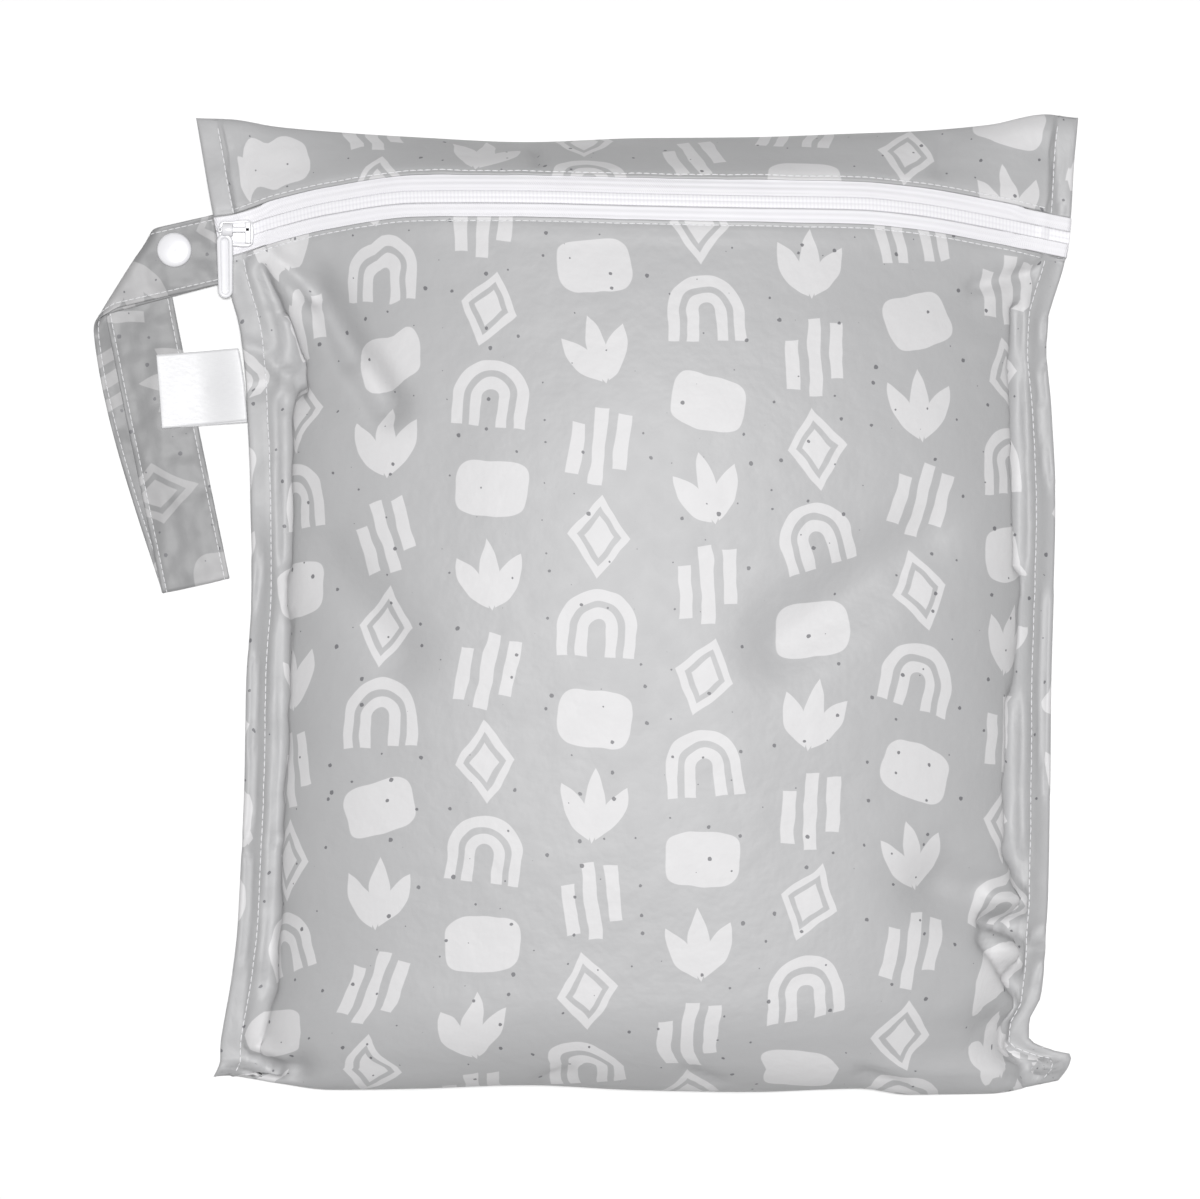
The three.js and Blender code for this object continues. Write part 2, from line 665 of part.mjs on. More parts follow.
const dropDirection = 2 * strapFoldAngle - strapAngle;
folds.push(
  makeFold(
    strapLayer(strapRun + strapDrop, 0, 1),
    dropDirection + strapEndSkew,
    strapLevels[1],
    strapLevels[2],
  ),
);
folds.push(makeFold(diagonalPoint, strapFoldAngle - 90, strapLevels[2], strapLevels[3]));

function strapPoint(along, over) {
  const p = strapFlat(along, over);
  let z = strapLevels[0];
  for (const fold of folds) {
    const past = fold.past(p, fold);
    if (past <= 0) break;
    if (past < fold.length) {
      const turn = past / fold.radius;
      p.addScaledVector(fold.outward, fold.radius * Math.sin(turn) - past);
      z += fold.way * fold.radius * (1 - Math.cos(turn));
      break;
    }
    p.addScaledVector(fold.outward, fold.length - 2 * past);
    z += fold.way * 2 * fold.radius;
  }
  return new THREE.Vector3(p.x, p.y, z);
}

// Along for a place at a set distance past a fold, at one edge of the ribbon.
function alongAtFold(index, distance, over) {
  const fold = folds[index];
  const start = fold.past(strapLayer(0, over, index), fold);
  const slope = fold.past(strapLayer(1, over, index), fold) - start;
  return (distance - start) / slope;
}

// Along for the place where one edge of the ribbon reaches the seam's outer fold.
function alongAtSeam(over) {
  const place = strapFlat(0, over);
  return (seamEdge(place.y) - clearance - place.x) / direction(strapAngle).x;
}

function strapGeometry() {
  const edges = [-strapWidth / 2, strapWidth / 2];
  const foldRow = (index, share) => edges.map((over) => alongAtFold(index, folds[index].length * share, over));
  const seamOverlap = strapTuck + clearance;
  const lastPoint = strapLayer(0, 0, 3);
  const lastStep = strapLayer(1, 0, 3).sub(lastPoint);
  const looseEnd = (seamEdge(strapY) + seamOverlap - lastPoint.x) / lastStep.x;
  const keyRows = [
    { along: edges.map(alongAtSeam), steps: 3 },
    { along: foldRow(0, 0), steps: 6 },
    { along: foldRow(0, 1), steps: 8 },
    { along: foldRow(1, 0), steps: 4 },
    { along: foldRow(1, 1), steps: 8 },
    { along: foldRow(2, 0), steps: 4 },
    { along: foldRow(2, 1), steps: 3 },
    { along: [looseEnd, looseEnd], steps: 0 },
  ];
  const ribbonRows = keyRows.flatMap((row, k) =>
    Array.from({ length: row.steps }, (_, step) =>
      row.along.map((along, e) => lerp(along, keyRows[k + 1].along[e], step / row.steps)),
    ),
  );
  ribbonRows.push(keyRows[keyRows.length - 1].along);
  const acrossSteps = 4;
  const grid = ribbonRows.map((row) =>
    Array.from({ length: acrossSteps + 1 }, (_, k) => {
      const share = k / acrossSteps;
      return strapPoint(lerp(row[0], row[1], share), lerp(edges[0], edges[1], share));
    }),
  );
  const half = strapThick / 2;
  const ribbon = solidOf(slab(grid, () => half, () => -half));
  const hole = new THREE.CylinderGeometry(
    snapPost / 2 + clearance,
    snapPost / 2 + clearance,
    4 * strapTopHeight,
    16,
  ).rotateX(Math.PI / 2);
  hole.translate(snapPlace.x, snapPlace.y, 0);
  return geometryOf(ribbon.subtract(solidOf(hole)));
}

const snapPlace = strapFlat(snapInset, -snapOffset);
const snapMiddle = (strapLevels[0] + strapLevels[3]) / 2;

// Rounded cap, its seat ring and the post that goes through the strap's top layer.
function snapCapGeometry() {
  const seat = strapLevels[0] + strapThick / 2 + clearance;
  const top = seat + snapHeight;
  const radius = snapDiameter / 2;
  return new THREE.LatheGeometry(
    [
      [0, snapMiddle + clearance / 2],
      [snapPost / 2, snapMiddle + clearance / 2],
      [snapPost / 2, seat],
      [radius * 0.96, seat],
      [radius, seat + snapHeight * 0.25],
      [radius, seat + snapHeight * 0.5],
      [radius * 0.9, seat + snapHeight * 0.82],
      [radius * 0.6, top - snapHeight * 0.03],
      [0, top],
    ].map(([r, z]) => new THREE.Vector2(r, z)),
    28,
  ).rotateX(Math.PI / 2);
}

function snapBackGeometry() {
  const seat = strapLevels[3] - strapThick / 2 - clearance;
  const radius = snapBackDiameter / 2;
  return new THREE.LatheGeometry(
    [
      [0, seat - snapBackHeight],
      [radius * 0.85, seat - snapBackHeight],
      [radius, seat - snapBackHeight * 0.7],
      [radius, seat],
      [snapPost / 2, seat],
      [snapPost / 2, snapMiddle - clearance / 2],
      [0, snapMiddle - clearance / 2],
    ].map(([r, z]) => new THREE.Vector2(r, z)),
    24,
  ).rotateX(Math.PI / 2);
}

// The label leaves the seam's edge and comes to rest on the strap.
function labelGeometry() {
  const start = new THREE.Vector2(seamEdge(labelPlace * bagLength) - clearance, labelPlace * bagLength);
  const restZ = strapLevels[2] + strapThick / 2 + clearance + labelThick / 2;
  const shares = [0, 0.12, 0.25, 0.4, 0.55, 0.7, 1];
  const grid = shares.map((share) => {
    const settle = clamp(share / 0.55, 0, 1);
    const z = lerp(seamHeight, restZ, settle * settle * (3 - 2 * settle));
    return [-1, -0.5, 0, 0.5, 1].map((over) => {
      const place = start
        .clone()
        .addScaledVector(direction(labelAngle), share * labelLength)
        .addScaledVector(direction(labelAngle + 90), (over * labelHeight) / 2);
      const slack = seamEdge(place.y) - clearance - (seamEdge(start.y) - clearance);
      return new THREE.Vector3(place.x + (1 - share) * Math.min(slack, 0), place.y, z);
    });
  });
  return slab(grid, () => labelThick / 2, () => -labelThick / 2);
}

const printedCloth = { color: 0xc3c3c5, roughness: 0.55, metalness: 0 };
const whiteTape = { color: 0xf4f3f6, roughness: 0.8, metalness: 0 };
const whitePlastic = { color: 0xfafafa, roughness: 0.3, metalness: 0 };
const whiteSatin = { color: 0xf7f7f8, roughness: 0.5, metalness: 0 };

function piece(name, geometry, look) {
  const mesh = new THREE.Mesh(geometry, new THREE.MeshStandardMaterial(look));
  mesh.name = name;
  return mesh;
}

const bag = new THREE.Group();
bag.add(
  piece("body_cloth", bodyGeometry(), printedCloth),
  piece("zipper_tape_lower", tapeGeometry(-1), whiteTape),
  piece("zipper_tape_upper", tapeGeometry(1), whiteTape),
  piece("zipper_coil", coilGeometry(), whitePlastic),
  piece("strap", strapGeometry(), printedCloth),
  piece("label", labelGeometry(), whiteSatin),
);

const slider = new THREE.Group();
slider.position.set(sliderX, sliderY, sliderZ);
slider.add(piece("zipper_slider", sliderGeometry(), whitePlastic));

// The pull hangs on the bar and rests with its tip just over the seam.
const pullDrop = sliderZ + barZ - (seamHeight + clothWall + clearance + pullThick / 2 + 0.4);
const pull = piece("zipper_pull", pullGeometry(), whitePlastic);
pull.position.set(knuckleX, barOffset, barZ);
pull.rotation.x = Math.asin(pullDrop / pullLength);
slider.add(pull);
bag.add(slider);

const snap = new THREE.Group();
snap.position.set(snapPlace.x, snapPlace.y, 0);
snap.add(piece("snap_cap", snapCapGeometry(), whitePlastic));
snap.add(piece("snap_back", snapBackGeometry(), whitePlastic));
bag.add(snap);

export default bag;
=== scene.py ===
"""Looks of a cloth wet bag for diapers: full, zipped shut and lying on its back, its snap strap beside it.

Shapes are worked out in millimetres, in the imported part's own frame: +X across the bag, +Y towards the
zipper, +Z up. The sizes and the tables down to the dents are the part's own.
"""
import math
from functools import partialmethod

import bmesh
import bpy
import numpy as np
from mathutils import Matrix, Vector


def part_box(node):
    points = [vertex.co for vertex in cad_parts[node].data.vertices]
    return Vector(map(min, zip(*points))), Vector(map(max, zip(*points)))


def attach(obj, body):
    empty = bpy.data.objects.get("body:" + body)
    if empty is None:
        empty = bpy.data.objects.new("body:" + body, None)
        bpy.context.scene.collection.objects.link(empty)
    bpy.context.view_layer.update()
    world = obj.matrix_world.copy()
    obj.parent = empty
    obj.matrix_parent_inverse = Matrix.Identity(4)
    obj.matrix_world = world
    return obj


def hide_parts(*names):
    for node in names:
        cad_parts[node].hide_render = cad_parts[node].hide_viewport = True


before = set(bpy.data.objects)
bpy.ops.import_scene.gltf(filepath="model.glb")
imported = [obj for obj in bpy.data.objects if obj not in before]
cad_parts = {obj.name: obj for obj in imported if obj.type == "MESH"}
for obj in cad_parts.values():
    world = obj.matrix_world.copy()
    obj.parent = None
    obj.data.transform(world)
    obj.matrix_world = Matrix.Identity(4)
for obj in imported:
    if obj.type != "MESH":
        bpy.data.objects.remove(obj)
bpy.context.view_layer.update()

MM = 0.001  # metres in a millimetre

# Bag
BAG_WIDTH = 305
BAG_LENGTH = 337
PUFF_HEIGHT = 46
CLOTH_WALL = 1.2
SEAM_WIDTH = 7
SEAM_HEIGHT = 6
SHELF_RISE = 1.6
CLEARANCE = 0.3
HALF_WIDTH = BAG_WIDTH / 2
BOTTOM_FOLD_HEIGHT = 0.29
BOTTOM_ROUND_ROWS = 0.1
BACK_ROUND_ROWS = 0.055
BACK_FLAT_SHARE = 0.8

# Zipper
SLIT_WIDTH = 14.6
SLIT_LOW_ROW = 0.9
SLIT_HIGH_ROW = 0.95
TAPE_THICK = 0.8
TAPE_LAP = 5
COIL_WIDTH = 4.2
COIL_PITCH = 1.3
COIL_CROWN = 0.22  # how far the coil's rows round up
COIL_RIB = 0.03
COIL_GROOVE = 0.2  # between its two rows
COIL_SUNK = 0.1  # how much lower the whole coil's face is
TAPE_EDGE = 0.12  # how much lower a tape's face is along its edges

# Slider and pull
SLIDER_LENGTH = 12
SLIDER_WIDTH = 9.6
SLIDER_PLATE = 1.4
BAR_RADIUS = 1
BAR_OFFSET = 1
POST_WIDTH = 1.2
CROSSPIECE_WIDTH = 2
CROSSPIECE_DEPTH = 7.4
CROSSPIECE_INSET = 0.7
PULL_LENGTH = 23.8
PULL_WIDTH = 5.6
PULL_THICK = 1.8
PULL_RECESS = 0.8
PULL_RIM = 1.4
KNUCKLE_WALL = 1
KNUCKLE_WIDTH = 3.6
KNUCKLE_CLEARANCE = 0.35

# Strap, snap and label
STRAP_WIDTH = 24
STRAP_THICK = 1
STRAP_LAYER_GAP = 0.4
STRAP_TOP_HEIGHT = 5.4
STRAP_RUN = 28.9
STRAP_DROP = 116.4
STRAP_ANGLE = 193
STRAP_FOLD_ANGLE = 238
STRAP_END_SKEW = -0.7
STRAP_TUCK = 2
STRAP_BOW = 4.4  # how far the lower layer bows out to the left
STRAP_SLIP = 0.6  # how far the returning layer slips sideways on its way to the seam
SNAP_DIAMETER = 12
SNAP_HEIGHT = 2.1
SNAP_INSET = 15
SNAP_OFFSET = 3
SNAP_BACK_DIAMETER = 8
SNAP_BACK_HEIGHT = 1.6
LABEL_LENGTH = 29.5
LABEL_HEIGHT = 25
LABEL_ANGLE = 184.7
STRAP_PLACE = 0.3635
LABEL_PLACE = 0.224

# Sewing
THREAD_RADIUS = 0.21
STITCH_PITCH = 2.6
STRAP_STITCH_PITCH = 2.3
HEM_STITCH_INSET = 1.5  # topstitch to the folded edge beside the zipper
STRAP_STITCH_INSET = 1.7
STRAP_HALF = 0.42  # half the ribbon's thickness
STRAP_PUFF = 0.1  # how far either face puffs up in the middle
STRAP_DRAWN = 0.15  # how far its topstitching draws either face in
STRAP_SEWN_HALF = STRAP_HALF - STRAP_DRAWN
STRAP_PINCH = 0.05  # puckers from stitch to stitch
CLOTH_SHEET = 0.8  # one ply as drawn
LABEL_GAP = 0.26  # half the distance between the label's two layers
LABEL_PLY = 0.12  # half of one of its layers
WELD = 0.002  # points closer than this are one
SEAM_GROOVE = 0.26  # how deep the side topstitch draws the face in
HEM_GROOVE = 0.3  # the same for the topstitch beside the zipper
HEM_RIDGE = 0.26  # how far the hem's folded ply lifts the face
HEM_PLY = 6.2  # width of that ply
SEAM_PUCKERS = 0.8  # height of the puckers along the side seams
RELIEF_SHARE = 0.7  # most of the room between front and back that a crease may take
HEM_ROUND = 0.5  # how deep the hem's edge is rounded off
FLANGE_DROOP = 4.6  # how far the loose edge of a flange hangs below its stitching
STRAP_FREE_BELOW = 35  # below this Y the left flange has no strap or label in it

# at, left, right, shelf left, shelf right, seam: as shares of the length, half width and seam sizes.
SIDE_EDGES = np.array([
    (-0.495, -0.97, 0.95, 0.4, 0.4, 0.25),
    (-0.475, -0.951, 0.986, 0.8, 1.4, 0.3),
    (-0.467, -0.951, 0.99, 1.0, 1.5, 0.35),
    (-0.457, -0.95, 0.945, 1.0, 1.2, 0.4),
    (-0.44, -0.944, 0.893, 1.1, 0.6, 0.5),
    (-0.425, -0.938, 0.893, 1.1, 0.5, 0.6),
    (-0.4, -0.928, 0.92, 1.1, 0.6, 0.75),
    (-0.34, -0.911, 0.931, 1.05, 0.8, 0.95),
    (-0.29, -0.905, 0.937, 1.0, 0.85, 1.0),
    (-0.19, -0.895, 0.941, 1.0, 1.0, 1.0),
    (-0.09, -0.891, 0.943, 0.9, 0.9, 1.0),
    (0.01, -0.879, 0.949, 0.75, 0.8, 1.0),
    (0.1, -0.88, 0.953, 0.75, 0.8, 1.0),
    (0.2, -0.889, 0.943, 0.95, 0.75, 1.0),
    (0.253, -0.897, 0.933, 1.3, 0.7, 1.0),
    (0.288, -0.91, 0.937, 1.2, 0.7, 1.0),
    (0.302, -0.919, 0.945, 1.0, 0.6, 1.0),
    (0.352, -0.945, 0.976, 0.5, 0.5, 1.0),
    (0.402, -0.967, 0.989, 0.3, 0.3, 0.9),
    (0.452, -0.987, 0.996, 0.3, 0.3, 0.6),
    (0.5, -1.006, 1.006, 0.3, 0.3, 0.3),
])

# at, top, zip, bottom: a share of the half width, then shares of the length from the middle.
CROSS_LINES = np.array([
    (-1.0, 0.499, 0.373, -0.492),
    (-0.93, 0.498, 0.3765, -0.489),
    (-0.82, 0.49, 0.391, -0.495),
    (-0.7, 0.485, 0.403, -0.501),
    (-0.5, 0.479, 0.413, -0.499),
    (-0.25, 0.474, 0.412, -0.495),
    (0.0, 0.478, 0.409, -0.5),
    (0.25, 0.479, 0.407, -0.502),
    (0.5, 0.483, 0.406, -0.499),
    (0.62, 0.485, 0.402, -0.506),
    (0.8, 0.492, 0.39, -0.506),
    (0.93, 0.503, 0.379, -0.497),
    (1.0, 0.5, 0.3725, -0.49),
])

# row, crest, power left, power right, wall
CROWN_PROFILE = np.array([
    (0.0, 0.84, 2.6, 2.4, 0.62),
    (0.12, 0.9, 2.8, 2.3, 0.56),
    (0.3, 0.98, 2.8, 2.2, 0.54),
    (0.5, 1.0, 2.7, 2.2, 0.54),
    (0.66, 0.98, 2.5, 2.2, 0.56),
    (0.78, 0.92, 2.3, 2.2, 0.66),
    (0.9, 0.76, 2.6, 2.6, 1.35),
    (0.95, 0.66, 2.6, 2.6, 1.4),
    (0.978, 0.4, 2.6, 2.6, 1.4),
    (1.0, 0.075, 2.6, 2.6, 1.4),
])

# name, from x, from y, to x, to y, width, depth: x in half widths, y and width in lengths, depth in puffs
DENTS = [
    ("pucker under the zipper", -0.73, 0.314, -0.65, 0.248, 0.012, 0.07),
    ("left sag", -0.7, 0.043, -0.54, -0.05, 0.03, 0.09),
    ("right sag", 0.64, 0.064, 0.32, -0.04, 0.034, 0.09),
    ("right hollow", 0.68, -0.29, 0.84, -0.32, 0.035, 0.2),
    ("low left crumple", -0.86, -0.455, -0.77, -0.478, 0.016, 0.2),
    ("low right crumple", 0.8, -0.43, 0.88, -0.465, 0.02, 0.16),
    ("left corner sag", -0.73, 0.325, -0.56, 0.2, 0.016, 0.17),
    ("left shelf", -0.81, 0.25, -0.80, 0.21, 0.016, 0.1),
]

# The same columns for sharper creases and rolls of the face alone. The last is a height here, so a crease's
# is below 0.
CREASES = [
    ("crease below the zipper's left end", -0.853, 0.342, -0.803, 0.288, 0.0060, -0.06),
    ("roll beside that crease", -0.821, 0.354, -0.767, 0.292, 0.0119, 0.024),
    ("valley off the left hem", -0.830, 0.358, -0.726, 0.311, 0.0085, -0.045),
    ("sharp fold in the left wall", -0.815, 0.253, -0.772, 0.242, 0.0065, -0.1),
    ("fold from its point", -0.772, 0.242, -0.800, 0.205, 0.0065, -0.09),
    ("roll under the sharp fold", -0.805, 0.247, -0.776, 0.206, 0.0104, 0.022),
    ("pucker in the left shelf", -0.844, 0.259, -0.790, 0.245, 0.0074, -0.026),
    ("tension from the left corner", -0.767, 0.350, -0.580, 0.278, 0.0178, -0.017),
    ("tension from the right corner", 0.906, 0.340, 0.760, 0.322, 0.0085, -0.06),
    ("roll beside that tension", 0.870, 0.352, 0.788, 0.309, 0.0119, 0.017),
    ("spoke of the right hollow", 0.790, -0.299, 0.933, -0.313, 0.0104, 0.085),
    ("slot under the spoke", 0.785, -0.325, 0.929, -0.343, 0.0075, -0.15),
    ("roll under the slot", 0.824, -0.357, 0.915, -0.372, 0.0134, 0.08),
    ("valley over the spoke", 0.845, -0.252, 0.885, -0.284, 0.0095, -0.10),
    ("left crease, upper", -0.803, 0.288, -0.765, 0.216, 0.006, -0.11),
    ("left crease, middle", -0.798, 0.2, -0.803, 0.04, 0.006, -0.08),
    ("left crease, lower", -0.795, -0.02, -0.820, -0.245, 0.0065, -0.055),
    ("left crease, foot", -0.820, -0.245, -0.842, -0.400, 0.0065, -0.055),
    ("right crease, upper", 0.862, 0.3, 0.868, 0.04, 0.0065, -0.1),
    ("right crease, lower", 0.852, -0.1, 0.85, -0.25, 0.0065, -0.09),
    ("root of the right ear", 0.850, -0.458, 0.925, -0.486, 0.0065, -0.1),
    ("fold in the right ear", 0.842, -0.482, 0.93, -0.495, 0.008, -0.03),
    ("fan towards the bottom", 0.780, -0.343, 0.868, -0.401, 0.0080, -0.09),
    ("roll over the right seam", 0.851, -0.409, 0.900, -0.449, 0.0130, 0.05),
    ("crease over the low left ear", -0.953, -0.466, -0.853, -0.475, 0.0065, -0.12),
    ("pit in the low left corner", -0.865, -0.478, -0.815, -0.484, 0.0100, -0.16),
    ("ridge over the pit", -0.880, -0.459, -0.790, -0.464, 0.0090, 0.07),
    ("pleat in the header", -0.235, 0.485, -0.226, 0.448, 0.0060, -0.055),
    ("roll beside the pleat", -0.210, 0.480, -0.201, 0.448, 0.0080, 0.03),
    ("pucker in the header", 0.699, 0.480, 0.683, 0.440, 0.0070, -0.045),
    ("left lip of the bottom fold", -0.225, -0.492, -0.150, -0.478, 0.0070, -0.045),
    ("middle lip of the bottom fold", 0.19, -0.494, 0.11, -0.478, 0.0070, -0.045),
    ("right lip of the bottom fold", 0.60, -0.496, 0.50, -0.478, 0.0070, -0.05),
]

# The same columns, with a height last, for folds that the two plies of a corner or flange share.
SHARED_FOLDS = [
    ("fold across the right ear", 0.855, -0.455, 0.965, -0.466, 0.0060, -0.1),
    ("ridge of the right ear", 0.850, -0.476, 0.965, -0.480, 0.0065, 0.14),
    ("second fold of the right ear", 0.850, -0.492, 0.950, -0.497, 0.0070, -0.05),
    ("slot through the right flange", 0.905, -0.343, 0.965, -0.347, 0.0050, -0.1),
    ("roll of the right flange", 0.905, -0.357, 0.960, -0.362, 0.0080, 0.05),
    ("fold across the left ear", -0.965, -0.467, -0.845, -0.474, 0.0060, -0.12),
    ("ridge of the left ear", -0.960, -0.479, -0.840, -0.484, 0.0065, 0.13),
    ("bend of the left flange", -0.890, 0.262, -0.830, 0.255, 0.0110, 0.05),
    ("sag of the left flange", -0.880, 0.222, -0.830, 0.226, 0.0120, -0.05),
]

# Waves. pitch x, pitch y: size of a wave in mm. height: in mm. seed: which waves.
WAVES = [
    (78, 62, 1.3, 11),
    (34, 46, 0.65, 12),
    (17, 24, 0.18, 13),
]
HEADER_WAVES = [(24, 70, 0.7, 25)]
HEM_PUCKERS = [
    (9.5, 16, 0.28, 23),
    (5.2, 10, 0.28 * 0.6, 24),
]
FLANGE_WAVES = [
    (30, 2, 1.1, 27),
    (12, 2, 1.1 * 0.6, 28),
]
TAPE_WAVES = [
    (14, 9, 0.1, 41),
    (5, 5, 0.05, 42),
]
STRAP_RIPPLES = [
    (15, 24, 0.3, 51),
    (7, 10, 0.16, 52),
]
SETTLE_WAVES = [
    (40, 48, 0.3, 31),
    (15, 19, 0.15, 32),
]
SETTLE = 0.45  # how far the back lies off the surface, more or less by its waves
WAVE_CELLS = 64  # the lattice of random heights repeats after so many


def curve(table, column):
    """Monotone cubic through one column of a table, against its first, as the part draws it."""
    xs = table[:, 0]
    ys = table[:, column]
    steps = np.diff(xs)
    slopes = np.diff(ys) / steps
    before = 2 * steps[1:] + steps[:-1]
    after = steps[1:] + 2 * steps[:-1]
    rising = slopes[:-1] * slopes[1:] > 0
    first = np.where(rising, slopes[:-1], 1)
    second = np.where(rising, slopes[1:], 1)
    inner = np.where(rising, (before + after) / (before / first + after / second), 0)
    tangents = np.concatenate([slopes[:1], inner, slopes[-1:]])

    def at(x):
        held = np.clip(x, xs[0], xs[-1])
        i = np.clip(np.searchsorted(xs, held) - 1, 0, len(steps) - 1)
        t = (held - xs[i]) / steps[i]
        rise = t * t * (3 - 2 * t)
        bend = steps[i] * t * (1 - t) * ((1 - t) * tangents[i] - t * tangents[i + 1])
        return ys[i] * (1 - rise) + ys[i + 1] * rise + bend

    return at


edge_left, edge_right, shelf_left, shelf_right, seam_curve = (curve(SIDE_EDGES, c) for c in range(1, 6))
top_line, zip_line, bottom_line = (curve(CROSS_LINES, c) for c in range(1, 4))
crest_curve, power_left, power_right, wall_curve = (curve(CROWN_PROFILE, c) for c in range(1, 5))


def lerp(a, b, t):
    return a + (b - a) * t


def smooth(t):
    """0 below 0, 1 above 1, with level ends: t squared times three less two t."""
    held = np.clip(t, 0, 1)
    return held * held * (3 - 2 * held)


def bump(distance):
    """A bell: e to the minus distance squared."""
    return np.exp(-distance * distance)


def row_y(x, row):
    """Y of a row: straight from the bottom fold to the slit, over it, and on to the top fold."""
    at = x / HALF_WIDTH
    middle = zip_line(at) * BAG_LENGTH
    low = middle - SLIT_WIDTH / 2
    high = middle + SLIT_WIDTH / 2
    front = lerp(bottom_line(at) * BAG_LENGTH, low, row / SLIT_LOW_ROW)
    slit = lerp(low, high, (row - SLIT_LOW_ROW) / (SLIT_HIGH_ROW - SLIT_LOW_ROW))
    header = lerp(high, top_line(at) * BAG_LENGTH, (row - SLIT_HIGH_ROW) / (1 - SLIT_HIGH_ROW))
    return np.where(row <= SLIT_LOW_ROW, front, np.where(row <= SLIT_HIGH_ROW, slit, header))


def side_x(side, row):
    """X of the outer fold, the topstitch and the crease of one side (-1 left, 1 right) of a row."""
    at = row_y(side * HALF_WIDTH, row) / BAG_LENGTH
    outer = (edge_left if side < 0 else edge_right)(at) * HALF_WIDTH
    shelf = (shelf_left if side < 0 else shelf_right)(at) * SEAM_WIDTH
    stitch = outer - side * SEAM_WIDTH
    return outer, stitch, stitch - side * shelf


def seam_z(row):
    at = (row_y(-HALF_WIDTH, row) + row_y(HALF_WIDTH, row)) / 2 / BAG_LENGTH
    return seam_curve(at) * SEAM_HEIGHT


def rounded(distance, span):
    """A quarter circle: 0 at a fold and 1 once span away."""
    left = 1 - np.clip(distance / span, 0, 1)
    return np.sqrt(1 - left * left)


def section(x, row):
    """Place between the creases, -1 to 1, and rise: (1 - place to a power) to a power."""
    left = side_x(-1, row)[2]
    right = side_x(1, row)[2]
    across = np.clip((2 * x - left - right) / (right - left), -1, 1)
    power = np.where(across < 0, power_left(row), power_right(row))
    return across, (1 - np.abs(across) ** power) ** wall_curve(row)


def on_shelf(x, row):
    """0 at the topstitch, 1 at the crease."""
    _, stitch_l, crease_l = side_x(-1, row)
    _, stitch_r, crease_r = side_x(1, row)
    left = (x - stitch_l) / (crease_l - stitch_l)
    right = (x - stitch_r) / (crease_r - stitch_r)
    return np.clip(np.where(x < 0, left, right), 0, 1)


def bell_along(x, y, line):
    """Last column of a line, as a bell across it, and how far along the line the places are, 0 to 1."""
    start = np.array([line[1] * HALF_WIDTH, line[2] * BAG_LENGTH])
    along = np.array([line[3] * HALF_WIDTH, line[4] * BAG_LENGTH]) - start
    share = ((x - start[0]) * along[0] + (y - start[1]) * along[1]) / (along @ along)
    held = np.clip(share, 0, 1)
    distance = np.hypot(x - start[0] - held * along[0], y - start[1] - held * along[1])
    return line[6] * PUFF_HEIGHT * bump(distance / (line[5] * BAG_LENGTH)), share


def dent_depth(x, y):
    """The sum of bells along the dents' lines."""
    return sum(bell_along(x, y, dent)[0] for dent in DENTS)


def front_z(x, row):
    """Seam height, the ply's lift, and the crest's height times the section's rise, less the dents."""
    base = seam_z(row)
    _, rise = section(x, row)
    crest = lerp(
        BOTTOM_FOLD_HEIGHT * PUFF_HEIGHT, crest_curve(row) * PUFF_HEIGHT, rounded(row, BOTTOM_ROUND_ROWS)
    )
    open_share = rounded(np.minimum(row, 1 - row), 0.012)
    lift = open_share * (CLOTH_WALL + SHELF_RISE * on_shelf(x, row))
    dent = dent_depth(x, row_y(x, row)) * np.sqrt(rise) * open_share
    return base + lift + (crest - base - lift) * rise - dent


def back_z(x, row):
    """Flat on the surface between the creases, up to the seams at the sides and the folds at the ends."""
    base = seam_z(row)
    across, rise = section(x, row)
    near_top = row > 0.5
    end_row = np.where(near_top, 1.0, 0.0)
    fold_crest = np.where(near_top, crest_curve(1.0), BOTTOM_FOLD_HEIGHT) * PUFF_HEIGHT
    fold_base = seam_z(end_row)
    fold = fold_base + (fold_crest - fold_base) * section(x, end_row)[1]
    lifted = 1 - smooth((1 - np.abs(across)) / (1 - BACK_FLAT_SHARE))
    seam = base - CLOTH_WALL - SHELF_RISE * on_shelf(x, row) * 0.5
    span = lerp(0.012, np.where(near_top, 0.02, BACK_ROUND_ROWS), rise)
    away = rounded(np.minimum(row, 1 - row), span)
    return lerp(fold, np.maximum(seam, 0) * lifted, away)


def waves(x, y, pitch_x, pitch_y, seed):
    """Random heights, -1 to 1, on a lattice of the two pitches, joined by smooth blends."""
    heights = np.random.default_rng(seed).uniform(-1, 1, (WAVE_CELLS, WAVE_CELLS))
    across = x / pitch_x + WAVE_CELLS / 2
    over = y / pitch_y + WAVE_CELLS / 2
    i = np.floor(across).astype(int)
    j = np.floor(over).astype(int)
    s = smooth(across - i)
    t = smooth(over - j)

    def height(a, b):
        return heights[a % WAVE_CELLS, b % WAVE_CELLS]

    near = lerp(height(i, j), height(i + 1, j), s)
    far = lerp(height(i, j + 1), height(i + 1, j + 1), s)
    return lerp(near, far, t)


def wave_sum(table, x, y):
    """The waves of a table, one on another."""
    return sum(height * waves(x, y, pitch_x, pitch_y, seed) for pitch_x, pitch_y, height, seed in table)


def normals_of(points):
    """Unit normals of a grid of points: along-differences crossed with over-differences."""
    along = np.gradient(points, axis=0)
    over = np.gradient(points, axis=1)
    normal = np.cross(along, over)
    return normal / np.maximum(np.linalg.norm(normal, axis=2, keepdims=True), 1e-9)


def arc(points, axis):
    """Length of cloth along one way of a grid, from its middle line."""
    step = np.linalg.norm(np.diff(points, axis=axis), axis=2)
    length = np.cumsum(step, axis=axis)
    zero = np.zeros_like(np.take(length, [0], axis=axis))
    length = np.concatenate([zero, length], axis=axis)
    return length - np.take(length, [length.shape[axis] // 2], axis=axis)


